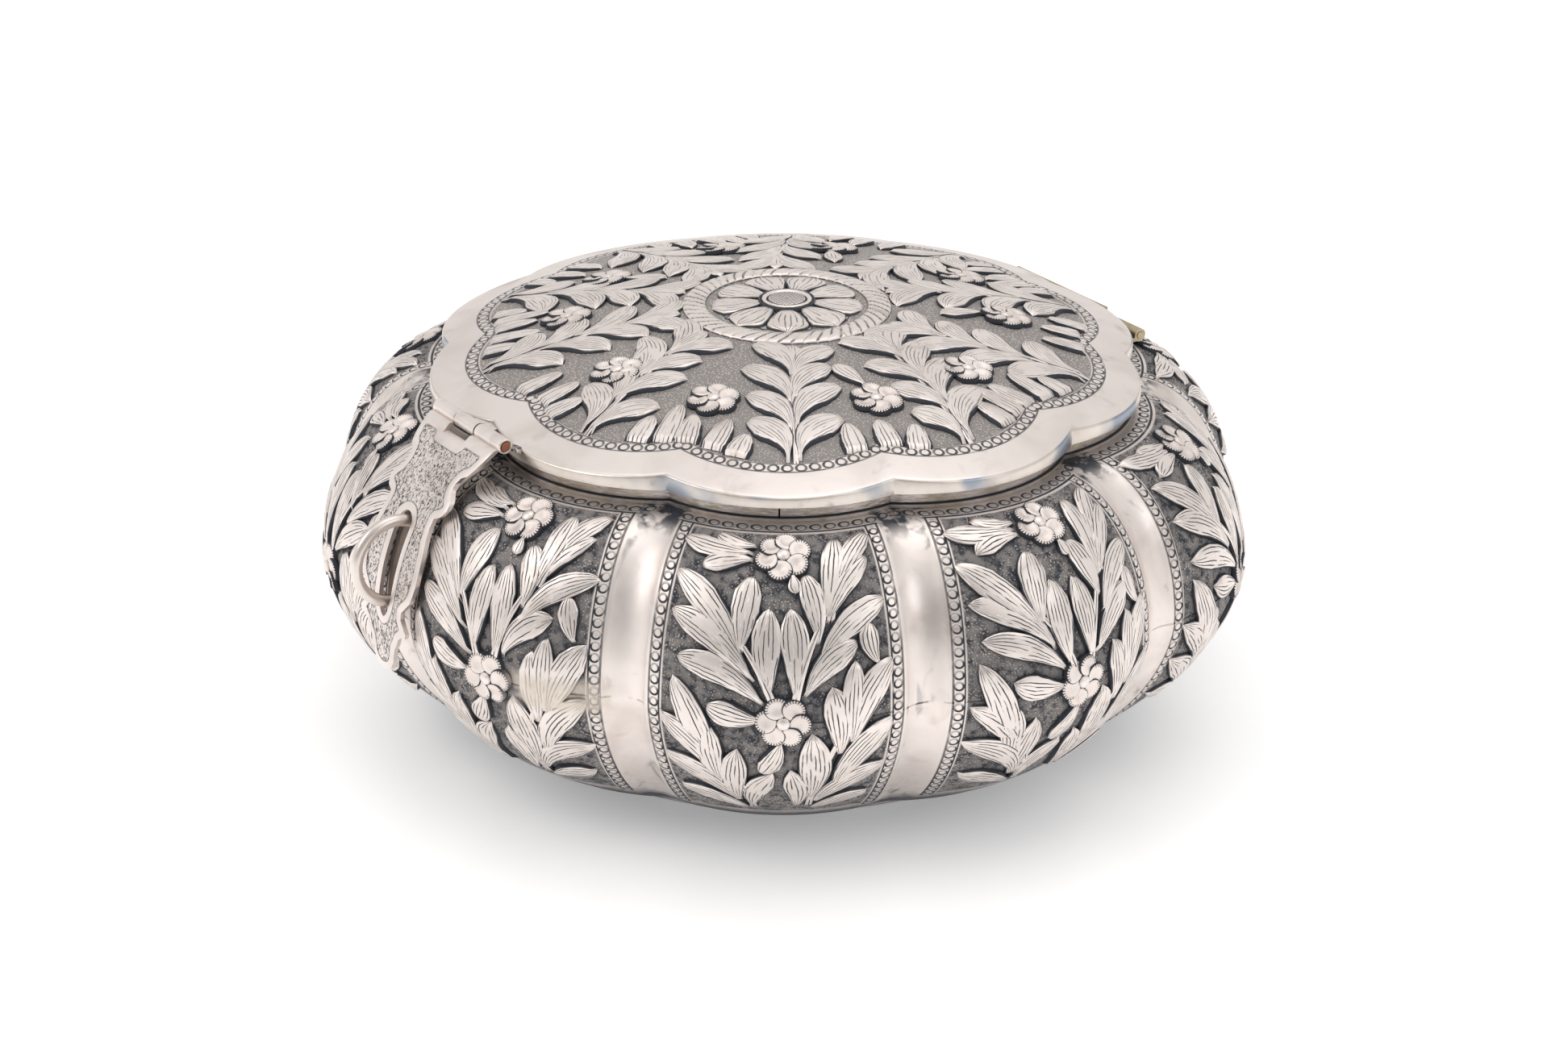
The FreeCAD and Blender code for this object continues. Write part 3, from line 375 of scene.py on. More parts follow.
# How high a boss stands from its middle out: (share of its radius, height)
FLOWER_BOSS = [(0.02, 1.62), (0.4, 1.55), (0.72, 1.3), (0.93, 0.95), (1.0, 0.2)]
ROSETTE_BOSS_RINGS = [
    (0.02, 0.85), (0.60, 0.95), (0.66, 0.55), (0.72, 1.1),
    (0.80, 1.1), (0.86, 0.6), (0.93, 0.95), (1.0, -0.3),
]
# Where a leaf is widest, as a share of its length, and how it tapers from there to its base
LEAF_TAPERS = {"leaf": (0.62, 0.85), "petal": (0.74, 0.75), "frond": (0.66, 1.35)}


def leaf_half_width(shape, share, width):
    """Half the width of a leaf, a stem, a fan or a rosette petal from base to tip."""
    if shape == "stem":
        return width / 2 * (1 - 0.6 * share)
    if shape == "fan":
        return width / 2 * np.sin(math.pi * (0.36 + 0.64 * share)) ** 0.62
    widest, taper = LEAF_TAPERS[shape]
    toward_base = np.sin(math.pi / 2 * np.clip(share / widest, 0, 1) ** 1.15) ** taper
    toward_tip = (1 - np.clip((share - widest) / (1 - widest), 0, 1) ** 2.1) ** 0.72
    blade = width / 2 * np.where(share < widest, toward_base, toward_tip)
    return np.maximum(blade, 0.5 * (1 - share))


def chase_leaf(work, ground, base, tip, width, rise, chance, bow=0.0, lines=None, shape="leaf"):
    """One leaf: pointed at its tip, narrow at its base, lined from end to end."""
    share = 1 - (1 - np.linspace(0, 1, LEAF_ROWS)) ** 1.15
    base = ground.plan(base)
    tip = ground.plan(tip)
    axis = tip - base
    size = float(np.hypot(*axis))
    side = np.array([-axis[1], axis[0]]) / size
    half = leaf_half_width(shape, share, width) + 0.04
    if shape != "stem":
        nick = np.array([chance.uniform(-1, 1) for _ in range(LEAF_ROWS)])
        half = half * (1 + 0.04 * nick)
    bend = bow * size * 4 * share * (1 - share)
    middle = base + share[:, None] * axis + bend[:, None] * side
    heading = np.gradient(middle, axis=0)
    heading /= np.linalg.norm(heading, axis=1, keepdims=True)
    across = np.stack([-heading[:, 1], heading[:, 0]], axis=1)
    drawing = middle[:, None, :] + across[:, None, :] * (half[:, None] * LEAF_ACROSS)[..., None]
    ends = smooth(0, 0.05, share) * smooth(0, 0.06, 1 - share)
    swell = 0.86 + 0.14 * np.sin(math.pi * share)
    crown = LEAF_CROWN[None, :] * (ends * swell)[:, None] - 0.3 * (1 - ends)[:, None]
    lift = crown * rise * (1 + chance.uniform(-0.06, 0.06))
    lines = lines or max(4, round(width * 1.15))
    vein = np.empty(drawing.shape)
    first = chance.randrange(40)
    vein[..., 0] = LEAF_ACROSS[None, :] * lines / 2 + lines / 2 + 0.5 + first
    vein[..., 1] = (share * size)[:, None] + chance.uniform(0, 50)
    edge = np.empty(drawing.shape)
    edge[..., 0] = share[:, None]
    edge[..., 1] = LEAF_ACROSS[None, :]
    work.add_grid(ground.lay(drawing, lift), {"vein": vein, "edge": edge}, LEAF)


def chase_disc(work, ground, centre, radius, heights, finish, squash=1.0, heading=0.0, tilt=0.0):
    """A round form such as a petal or boss, its height given ring by ring from its middle out."""
    rings = np.array([ring for ring, _ in heights])
    lift = np.array([height for _, height in heights])
    angle = np.arange(DISC_SPOKES) / DISC_SPOKES * WHOLE_TURN
    drawing = np.empty((len(rings), DISC_SPOKES, 2))
    forward = np.cos(angle)[None, :] * rings[:, None] * radius
    sideways = np.sin(angle)[None, :] * rings[:, None] * radius * squash
    drawing[..., 0] = centre[0] + forward * math.cos(heading) - sideways * math.sin(heading)
    drawing[..., 1] = centre[1] + forward * math.sin(heading) + sideways * math.cos(heading)
    lifts = lift[:, None] + tilt * np.sin(angle)[None, :] * rings[:, None]
    vein = np.empty(drawing.shape)
    vein[..., 0] = np.abs(angle / math.pi - 1)[None, :] * 11
    vein[..., 1] = rings[:, None]
    edge = np.empty(drawing.shape)
    edge[..., 0] = rings[:, None]
    edge[..., 1] = (np.cos(angle) * 0.5 + 0.5)[None, :]
    work.add_grid(ground.lay(drawing, lifts), {"vein": vein, "edge": edge}, finish, closed=True)


def chase_flower(work, ground, place, radius, rise, chance, dimple):
    """A flower of six petals round a boss, each petal pressed in by a share of its height."""
    centre = ground.plan(place)
    start = chance.uniform(0, WHOLE_TURN)
    for petal in range(FLOWER_PETALS):
        heading = start + petal * math.pi / 3
        reach = radius * 0.60 * (1 + chance.uniform(-0.04, 0.04))
        middle = centre + reach * np.array([math.cos(heading), math.sin(heading)])
        top = rise * (0.98 + 0.06 * (petal % 3))
        heights = [
            (0.02, top * (1 - dimple)), (0.22, top * (1 - dimple * 0.95)),
            (0.42, top * (1 - 0.3 * dimple)), (0.62, top), (0.84, top * 0.97),
            (0.955, top * 0.74), (1.0, -0.3 * rise),
        ]
        size = radius * 0.43
        chase_disc(work, ground, middle, size, heights, PETAL, 1.08, heading, tilt=0.30)
    boss = [(ring, rise * height) for ring, height in FLOWER_BOSS]
    chase_disc(work, ground, centre, radius * 0.27, boss, BOSS)


# One panel: (base, tip, width, bow), each place (turn in degrees, rise above the belly seam in mm)
PANEL_LEAVES = [
    # Spray to the left of the middle flower
    ((-3.7, 12.6), (-12.9, 29.0), 4.9, -0.08),
    ((-2.5, 8.6), (-12.8, 20.9), 4.9, -0.10),
    ((-1.2, 3.8), (-11.6, 11.8), 4.7, -0.12),
    ((-4.0, 13.8), (-3.0, 29.6), 4.9, 0.03),
    ((-0.7, 4.6), (-0.9, 23.2), 5.0, 0.03),
    # Spray to the right of it
    ((2.2, 4.8), (1.6, 23.2), 4.8, -0.03),
    ((4.8, 16.0), (3.2, 30.0), 4.2, -0.06),
    ((5.6, 20.0), (7.5, 38.3), 4.4, -0.02),
    ((7.2, 26.0), (12.4, 38.6), 4.0, 0.08),
    ((5.9, 20.0), (11.6, 32.9), 3.9, 0.08),
    ((4.8, 12.4), (13.2, 23.5), 4.7, 0.10),
    ((3.2, 5.6), (9.5, 15.9), 4.5, 0.10),
    # A half leaf against the border, and the leaves of the upper flower
    ((11.9, 10.8), (10.8, 19.4), 3.4, 0.10),
    ((-3.0, 34.6), (-13.0, 36.6), 3.8, 0.05),
    ((-2.6, 36.2), (-8.4, 38.7), 3.0, 0.08),
    ((-2.9, 32.9), (-9.6, 30.4), 3.6, -0.08),
    ((1.8, 30.0), (2.3, 26.0), 2.2, 0.0),
    # Leaves beside and under the middle flower
    ((-1.4, 1.0), (-7.8, 3.1), 4.4, 0.06),
    ((0.6, -3.8), (-1.7, -13.8), 3.9, 0.06),
    # Lower spray on the left
    ((-6.5, -17.0), (-12.0, 7.8), 5.0, -0.05),
    ((-5.6, -18.0), (-13.5, -0.5), 4.6, -0.10),
    ((-4.0, -27.0), (-13.4, -11.0), 4.8, -0.12),
    ((-3.1, -30.5), (-12.2, -22.6), 4.2, -0.10),
    ((-6.2, -18.6), (-7.7, -0.9), 4.7, 0.05),
    ((-4.4, -26.8), (-4.4, -7.0), 4.8, 0.05),
    ((-2.8, -29.2), (-0.3, -14.2), 4.4, 0.10),
    # Lower spray on the right
    ((7.3, -9.0), (6.3, 7.3), 5.0, -0.05),
    ((8.6, -5.6), (9.1, 12.2), 3.9, 0.02),
    ((8.7, -6.4), (13.7, 11.7), 5.0, 0.10),
    ((7.0, -20.6), (13.8, -0.7), 5.2, 0.10),
    ((4.6, -27.2), (13.2, -13.1), 4.8, 0.12),
    ((4.2, -25.0), (4.1, -2.6), 5.6, -0.04),
    ((2.6, -29.0), (1.8, -13.2), 4.4, -0.06),
    ((4.2, -30.5), (12.0, -24.4), 4.0, 0.10),
]
PANEL_STEMS = [
    ((0.0, 3.0), (-4.4, 17.0), -0.05),
    ((2.0, 3.0), (6.4, 24.0), 0.05),
    ((6.2, 20.0), (9.2, 32.0), 0.06),
    ((-2.8, -31.0), (-6.9, -9.0), -0.08),
    ((4.2, -31.0), (8.9, 2.0), 0.06),
]
PANEL_FLOWERS = [(0.7, 34.2), (0.9, 0.4)]
FLOWER_RADIUS = 5.6

# One tenth of the lid: (base, tip, width, bow), each place (distance, turn from the stem)
LID_LEAVES = [
    ((38.2, -0.4), (23.9, -20.7), 6.8, -0.17),
    ((37.2, 0.9), (25.9, 21.5), 6.8, 0.17),
    ((48.4, -0.8), (34.4, -17.2), 7.0, -0.17),
    ((46.8, 0.6), (33.6, 14.9), 6.9, 0.17),
    ((57.8, -0.8), (44.6, -12.3), 7.2, -0.17),
    ((56.3, 0.6), (41.8, 13.6), 7.0, 0.17),
    ((66.9, -1.4), (54.1, -10.2), 7.4, -0.18),
    ((66.4, 0.7), (53.1, 11.7), 7.5, 0.18),
    ((35.5, 0.0), (23.5, 0.0), 4.9, 0.0),
]
LID_STEM = ((67.6, 0), (27.5, 0))
# Where each lobe's stem stands and how far its top leans, in degrees; the rest stand by chance
LID_STEMS = {324: (2.7, 0.0), 0: (-1.0, 11.0), 288: (-0.4, -8.5)}
# Leaves cut off by the row of rings, beside a crowded cusp or a bare one: (base, tip), with turns
# from the cusp
LID_FANS = [
    [((64.6, -4.2), (54.8, -4.1)), ((63.9, 2.5), (54.4, 2.7)), ((66.2, 7.0), (58.0, 9.0))],
    [((65.7, 10.0), (58.0, 11.3)), ((64.1, 5.4), (53.4, 6.6)), ((63.3, 0.2), (53.8, -1.3)),
     ((64.0, -3.9), (51.6, -6.1)), ((65.4, -8.6), (57.0, -9.2))],
]
# Distance of each flower from the lid's middle
LID_FLOWER = 47.4
ROPE_RING = (17.4, 22.7)
ROPE_STRANDS = 52
ROSETTE_PETALS = 9


def nudged(place, chance, turn, along):
    """A place moved a little by hand."""
    return place[0] + chance.uniform(-turn, turn), place[1] + chance.uniform(-along, along)


def chase_panel(work, wall, degrees, seed):
    """All the ornament of one lobe."""
    chance = random.Random(seed)
    # The lobe that the photograph shows from the front keeps its drawing, the others stray from it
    free = 0.0 if degrees == FRONT_LOBE else 1.0
    relief = millimetres("box_wall", "relief")[0]
    for base, tip, bow in PANEL_STEMS:
        ground = Ground(wall, *midway(base, tip), degrees)
        chase_leaf(work, ground, base, tip, 1.9, relief * 0.95, chance, bow, lines=2, shape="stem")
    for base, tip, width, bow in PANEL_LEAVES:
        ground = Ground(wall, *midway(base, tip), degrees)
        tip = nudged(tip, chance, 0.7 * free, 1.1 * free)
        tip = (max(-13.4, min(13.6, tip[0])), min(38.6, tip[1]))
        width = width * (1.27 + 0.08 * free * chance.uniform(-1, 1))
        bow = bow * (1 + free * chance.uniform(-0.6, 0.6))
        chase_leaf(work, ground, base, tip, width, relief, chance, bow)
    for place in PANEL_FLOWERS:
        ground = Ground(wall, *place, degrees)
        stand = nudged(place, chance, 0.3 * free, 0.4 * free)
        dimple = 0.55 if place[1] > 20 else 0.3
        chase_flower(work, ground, stand, FLOWER_RADIUS, relief, chance, dimple)


def midway(base, tip):
    """The place halfway between two."""
    return (base[0] + tip[0]) / 2, (base[1] + tip[1]) / 2


def chase_lid_tenth(work, degrees, seed):
    """The lid's ornament of one lobe and of the cusp after it."""
    chance = random.Random(seed)
    ground = DomeGround(degrees)
    relief = millimetres("box_lid", "relief")[0]
    stand, lean = LID_STEMS.get(degrees, (chance.uniform(-1, 1), chance.uniform(-7, 7)))

    def leant(place):
        """A place moved with the stem, which leans more toward its top."""
        return place[0], place[1] + stand + lean * (67 - place[0]) / 37

    stem = [leant(end) for end in LID_STEM]
    chase_leaf(work, ground, *stem, 1.3, relief * 0.8, chance, lines=2, shape="stem")
    for base, tip, width, bow in LID_LEAVES:
        ends = leant(base), leant(nudged(tip, chance, 0.5, 0.8))
        chase_leaf(work, ground, *ends, width, relief, chance, bow, shape="frond")
    crowded = round(degrees / LOBE_TURN + 1) % 2
    flower_turn = HALF_TURN_DEGREES + (5.5 if not crowded else 1.0)
    for base, tip in LID_FANS[crowded]:
        tip = nudged(tip, chance, 0.6, 0.5)
        ends = [(reach, turn + HALF_TURN_DEGREES) for reach, turn in (base, tip)]
        chase_leaf(work, ground, *ends, 5.6, relief * 0.85, chance, shape="fan")
    if not crowded:
        ends = (42.6, flower_turn), (33.0, flower_turn - 5.5)
        chase_leaf(work, ground, *ends, 4.6, relief, chance)
    stand = nudged((LID_FLOWER, flower_turn), chance, 0.7, 0.5)
    chase_flower(work, ground, stand, FLOWER_RADIUS, relief * 1.1, chance, dimple=0.5)


def chase_rope(work, relief):
    """A flat ring of twisted strands round the rosette."""
    inner, outer = ROPE_RING
    share = np.array([0.0, 0.05, 0.16, 0.34, 0.5, 0.66, 0.84, 0.95, 1.0])
    crown = np.array([-0.35, 0.62, 0.92, 1.08, 1.12, 1.08, 0.92, 0.62, -0.35])
    angle = np.arange(ROPE_STRANDS * 6) / (ROPE_STRANDS * 6) * WHOLE_TURN
    radius = (inner + (outer - inner) * share)[:, None] + 0 * angle[None, :]
    strand = angle[None, :] * ROPE_STRANDS / WHOLE_TURN + (share[:, None] - 0.5) * 1.5
    groove = np.abs((strand + 0.5) % 1 - 0.5) * 2
    lift = relief * (crown[:, None] - 0.3 * (1 - smooth(0.0, 0.35, groove)) * (crown[:, None] > 0))
    drawing = np.stack([radius * np.cos(angle), radius * np.sin(angle)], axis=-1)
    vein = np.stack([strand + 0.5, share[:, None] * 5 + 0 * strand], axis=-1)
    edge = np.stack([1.0 + 0 * strand, 2 * share[:, None] - 1 + 0 * strand], axis=-1)
    work.add_grid(DomeGround(0).lay(drawing, lift), {"vein": vein, "edge": edge}, LEAF, closed=True)


def chase_rosette(work):
    """The middle of the lid: a boss, petals and a ring of rope."""
    chance = random.Random(5)
    ground = DomeGround(0)
    relief = millimetres("box_lid", "relief")[0]
    chase_rope(work, relief)
    for petal in range(ROSETTE_PETALS):
        turn = 360 * petal / ROSETTE_PETALS + 6
        ends = (4.6, turn), (16.5, turn)
        chase_leaf(work, ground, *ends, 9.4, relief, chance, lines=7, shape="petal")
    middle = np.array([0.0, 0.0])
    chase_disc(work, ground, middle, 6.6, ROSETTE_BOSS_RINGS, ROSETTE_BOSS)


# The wall's columns by their distance from a flute's middle, closest where its edge, the scored
# lines and the row of rings are
WALL_OFFSETS = [0.0, 1.5, 3.0, 4.1, 4.6, 4.95, 5.25, 5.6, 6.3, 7.0, 7.35, 7.7, 8.2]
GROUND_COLUMNS = 11
RINGS_PER_LOBE = 17
# Radius of each scallop of the mouth
MOUTH_ARC = 33.8
# Rows of the wall near its top edge, by how far they are below it
SHOULDER_ROWS = np.array([4.7, 4.3, 3.9, 3.5, 3.1, 2.7, 2.3, 1.7, 1.1, 0.6, 0.0])


def lobe_columns(wall, rise):
    """Turns from a lobe's middle for each row, and their distances from the flute's middle."""
    crest, _, fall, _ = wall.profile(rise)
    edge = (crest - fall)[:, None]
    near = HALF_TURN - np.array(WALL_OFFSETS)[None, :] / edge
    last = near[:, -1:]
    ground = last * (1 - np.arange(1, GROUND_COLUMNS + 1) / (GROUND_COLUMNS + 1))[None, :]
    side = np.concatenate([near, ground], axis=1)
    turn = np.concatenate([-side, 0 * last, side[:, :0:-1]], axis=1)
    return turn, (HALF_TURN - np.abs(turn)) * edge


def wall_grid(wall, rises, sunk, inset=0.0):
    """The whole wall's grid over a set of rises, with its UV layers."""
    turn, offset = lobe_columns(wall, rises)
    rise = np.broadcast_to(rises[:, None], turn.shape)
    low, high = wall.lowest + 14, wall.highest - 4.6
    sink = smooth(7.4, 8.1, offset) * smooth(low - 0.8, low + 0.4, rise)
    sink = sink * smooth(high + 0.5, high - 0.1, rise)
    points = wall.point(turn, rise, inset + sunk * sink)
    along = np.stack([turn / (2 * HALF_TURN) * RINGS_PER_LOBE, rise], axis=-1)
    lobe_layers = {"panel": np.stack([offset, rise], axis=-1), "round": along}
    grids = [turned(points, LOBE_TURN * lobe) for lobe in range(LOBES)]
    layers = {name: np.concatenate([uv] * LOBES, axis=1) for name, uv in lobe_layers.items()}
    return np.concatenate(grids, axis=1), layers


def stack_rows(*parts):
    """Several grids of the same columns laid end to end."""
    points = np.concatenate([part[0] for part in parts])
    names = parts[0][1]
    return points, {name: np.concatenate([part[1][name] for part in parts]) for name in names}


def level_row(like, arc, height):
    """A row of points at one height: a scalloped outline, or a point on the axis without an arc."""
    points = like[0][-1:].copy()
    if arc is None:
        points[..., :2] = 0
    else:
        angle = np.arctan2(points[..., 1], points[..., 0])
        radius = scallop(from_lobe_middle(angle), arc)
        points[..., 0] = radius * np.cos(angle)
        points[..., 1] = radius * np.sin(angle)
    points[..., 2] = height
    layers = {name: values[-1:].copy() for name, values in like[1].items()}
    layers["panel"][..., 0] = 0
    layers["panel"][..., 1] = 60
    return points, layers


def make_wall_half(upper):
    """One raised half of the body, outside and inside."""
    wall = Wall()
    sheet, sunk = millimetres("box_wall", "sheet", "ground_sink")
    work = Sheetwork("wall_upper" if upper else "wall_lower", ["panel", "round"])
    if upper:
        panel = np.linspace(1, wall.highest - 5.4, 46)
        rises = np.concatenate([[0, 0.15, 0.5], panel, wall.highest - SHOULDER_ROWS])
        outside = wall_grid(wall, rises, sunk)
        inside = wall_grid(wall, np.linspace(wall.highest - 1.5, 0, 16), 0, sheet)
        top = outside[0][-1, 0, 2]
        inside[0][..., 2] = np.minimum(inside[0][..., 2], top - sheet)
        mouth = level_row(outside, MOUTH_ARC, top)
        under = level_row(outside, MOUTH_ARC, top - sheet)
        points, layers = stack_rows(outside, mouth, under, inside, wall_grid(wall, rises[:1], 0))
        first = len(rises)
    else:
        low = wall.lowest
        foot = low + np.array([0, 0.5, 1.5, 3.0])
        rises = np.concatenate([foot, np.linspace(low + 4.5, -1, 50), [-0.5, -0.15, 0]])
        outside = wall_grid(wall, rises, sunk)
        inside = wall_grid(wall, np.linspace(0, low + 1.2, 16), 0, sheet)
        floor = outside[0][0, 0, 2]
        inside[0][..., 2] = np.maximum(inside[0][..., 2], floor + sheet)
        bottom = level_row(outside, None, floor)
        centre = level_row(outside, None, floor + sheet)
        points, layers = stack_rows(bottom, outside, inside, centre)
        first = len(rises) + 1
    faces = grid_faces(*points.shape[:2], closed=True)
    finish = (np.arange(len(faces)) // points.shape[1] >= first).astype(int)
    work.add(points, faces, layers, finish)
    return work


# Finishes of the lid's shell, by their place in its list of materials
LID_TOP, LID_INSIDE, LIP = range(3)
# Scallops of the flat rim's rows of points
LID_RIM_ARCS = [34.6, 33.2, 31.8, 30.4, 29.9, 29.5, 29.1]


def make_lid():
    """The lid's shell: flat rim, punched ring row, chased field and the plain inside."""
    edge_arc, ring_arc, ground_arc, sheet, lip = millimetres(
        "box_lid", "lid_arc", "ring_arc", "ground_arc", "sheet", "lip_height"
    )
    turn = np.linspace(-HALF_TURN, HALF_TURN, 41)[:-1]

    def row(radius, height):
        """One row of a scallop's points."""
        return np.stack([radius * np.cos(turn), radius * np.sin(turn), height + 0 * turn], axis=-1)

    # Scalloped rows from the rounded edge in to the ground, then rows that shrink to the middle
    outer = [edge_arc, edge_arc - 0.12, edge_arc - 0.4, edge_arc - 1, *LID_RIM_ARCS,
             ring_arc + 0.6, ring_arc, ring_arc - 0.6, ground_arc + 0.25, ground_arc]
    drops = [0.42, 0.16, 0.03] + [0] * (len(outer) - 3)
    top = []
    for arc, drop in zip(outer, drops):
        radius = scallop(turn, arc)
        top.append(row(radius, dome_height(radius) - drop))
    inner = scallop(turn, ground_arc - 0.5)
    for share in np.linspace(1, 0, 62):
        radius = inner * share
        ring = smooth(16.9, 16.4, radius) * smooth(5.4, 6.2, radius)
        sink = 0.3 * smooth(23.0, 23.6, radius) + 0.12 * ring
        top.append(row(radius, dome_height(radius) - sink))
    top = np.stack(top)
    # The lip's outside and its lower edge, then the inside
    side = [(edge_arc, lip + 0.35), (edge_arc, lip + 0.12), (edge_arc - 0.25, lip),
            (edge_arc - sheet + 0.1, lip), (edge_arc - sheet, lip + 0.3)]
    below = [row(scallop(turn, arc), height) for arc, height in side]
    for share in np.linspace(1, 0, 14):
        radius = scallop(turn, edge_arc - sheet) * share
        below.append(row(radius, dome_height(radius) - sheet))
    points = np.concatenate([np.stack(below)[::-1], top])
    place = np.zeros(points.shape[:2] + (2,))
    place[len(below):] = np.stack(scallop_place(top), axis=-1)
    place[:len(below), :, 0] = 60
    whole = np.concatenate([turned(points, LOBE_TURN * lobe) for lobe in range(LOBES)], axis=1)
    places = np.concatenate([place] * LOBES, axis=1)
    faces = grid_faces(*whole.shape[:2], closed=True)
    # The plain inside, then the lip up to the rounded edge, then the top
    height = np.arange(len(faces)) // whole.shape[1]
    lip_start, lip_end = len(below) - len(side), len(below) + 2
    outside = np.where(height < lip_end, LIP, LID_TOP)
    finish = np.where(height < lip_start, LID_INSIDE, outside)
    work = Sheetwork("lid_shell", ["ring"])
    work.add(whole, faces, {"ring": places}, finish)
    return work


def inside_outline(points, outline):
    """Which points lie inside a closed outline."""
    within = np.zeros(len(points), dtype=bool)
    for (x0, y0), (x1, y1) in zip(outline, np.roll(outline, -1, axis=0)):
        crosses = (y0 > points[:, 1]) != (y1 > points[:, 1])
        reach = x0 + (points[:, 1] - y0) * (x1 - x0) / (y1 - y0 + 1e-12)
        within ^= crosses & (points[:, 0] < reach)
    return within


def outline_distance(points, outline):
    """Distance of each point to a closed outline."""
    nearest = np.full(len(points), 1e9)
    for start, end in zip(outline, np.roll(outline, -1, axis=0)):
        run = end - start
        share = np.clip(((points - start) @ run) / (run @ run), 0, 1)
        nearest = np.minimum(nearest, np.linalg.norm(points - start - share[:, None] * run, axis=1))
    return nearest


def even_points(outline, spacing):
    """Points set evenly along a closed outline, its corners kept."""
    result = []
    for start, end in zip(outline, np.roll(outline, -1, axis=0)):
        steps = max(1, round(float(np.linalg.norm(end - start)) / spacing))
        result += [start + (end - start) * step / steps for step in range(steps)]
    return np.array(result)


# The right half of the hasp's cut edge, from its hinge down to its tip
HASP_SIDE = [
    (13.0, 78.9), (12.6, 77.0), (12.0, 75.3), (11.2, 73.9), (9.9, 73.3), (9.3, 72.0), (9.6, 70.6),
    (11.2, 69.0), (11.5, 67.6), (10.5, 66.1), (8.8, 65.4), (8.8, 63.6), (9.3, 61.3), (10.1, 58.6),
    (10.6, 55.4), (10.7, 52.2), (10.3, 50.0), (9.6, 48.2), (8.1, 46.6), (7.0, 45.4), (7.0, 43.9),
    (8.2, 42.6), (9.3, 41.4), (9.0, 40.4), (7.4, 40.0), (6.3, 39.2), (5.6, 37.6), (4.6, 36.2),
    (4.3, 34.6), (4.1, 33.2), (3.0, 31.4), (1.6, 30.6),
]


def hasp_outlines():
    """The hasp's cut edge and its slot, seen from the front."""
    right = np.array(HASP_SIDE)
    left = right[::-1] * [-1, 1]
    notch = np.array([(-4.9, 78.9), (-4.7, 77.4), (3.1, 77.4), (3.3, 78.9)])
    edge = np.concatenate([right, [(0.0, 30.35)], left, notch])
    arch = [(2.6 * math.cos(a), 61.6 + 2.6 * math.sin(a)) for a in np.linspace(0, math.pi, 13)]
    bow = [(-2.5, 52.0), (-2.34, 46.7), (-1.62, 43.9), (-0.8, 42.6), (0.0, 42.1),
           (0.8, 42.6), (1.62, 43.9), (2.34, 46.7), (2.5, 52.0)]
    return even_points(edge, 0.8), even_points(np.array(arch + bow), 0.8)


# The middle line of the hasp's sheet is straight up to a height, and bends round an axis above it
HASP_BEND_START = 38.0
HASP_BEND_MIDDLE = 48.9
HASP_BEND_RADIUS = 51.7
HASP_HALF_SHEET = 0.55
# The axis of its hinge, as a distance in front of the box's axis and a height
HASP_HINGE = (-78.7, 79.4)
# Its two rolled knuckles along that axis
HASP_KNUCKLES = [(-13.4, -4.88), (3.28, 13.4)]
KNUCKLE_RADIUS = 1.65
KNUCKLE_BORE = 1.12
HASP_MESH = 0.75


def hasp_depth(height, lift):
    """How far forward the bent hasp stands at a height."""
    rise = np.maximum(0, height - HASP_BEND_START)
    bend = HASP_BEND_RADIUS + lift
    return -(HASP_BEND_MIDDLE + np.sqrt(np.maximum(0, bend ** 2 - rise ** 2)))


def make_hasp():
    """The hasp's plate with its stippled field and plain border, and its two knuckles."""
    edge, slot = hasp_outlines()
    x, z = np.meshgrid(np.arange(-13, 13, HASP_MESH), np.arange(30.5, 79, HASP_MESH))
    x = x + HASP_MESH / 2 * (np.arange(len(z)) % 2)[:, None]
    grid = np.stack([x.ravel(), z.ravel()], axis=1)
    keep = inside_outline(grid, edge) & ~inside_outline(grid, slot)
    keep &= (outline_distance(grid, edge) > 0.4) & (outline_distance(grid, slot) > 0.4)
    flat = np.concatenate([edge, slot, grid[keep]])
    loops = [(0, len(edge)), (len(edge), len(slot))]
    sides = [(start + i, start + (i + 1) % count) for start, count in loops for i in range(count)]
    corners = [Vector(point) for point in flat]
    points, _, faces, *_ = delaunay_2d_cdt(corners, sides, [], 0, 1e-6)
    flat = np.array([tuple(point) for point in points])
    faces = np.array(faces)
    middle = flat[faces].mean(axis=1)
    faces = faces[inside_outline(middle, edge) & ~inside_outline(middle, slot)]
    border = np.minimum(outline_distance(flat, edge), outline_distance(flat, slot))
    x, z = flat[:, 0], flat[:, 1]
    dish = -0.12 * smooth(1.5, 2.0, border) - 0.14 * smooth(0.5, 0.0, border)
    front = np.stack([x, hasp_depth(z, HASP_HALF_SHEET + dish), z], axis=1)
    back = np.stack([x, hasp_depth(z, -HASP_HALF_SHEET), z], axis=1)
    count = len(flat)
    walls = []
    for a, b in sides:
        walls += [(a, b, b + count), (a, b + count, a + count)]
    uv = np.stack([np.concatenate([border, border]), np.concatenate([z, z])], axis=1)
    work = Sheetwork("hasp_plate", ["border"])
    faces = np.concatenate([faces, faces[:, ::-1] + count, np.array(walls)])
    work.add(np.concatenate([front, back]), faces, {"border": uv})
    for start, end in HASP_KNUCKLES:
        add_knuckle(work, start, end)
    return work


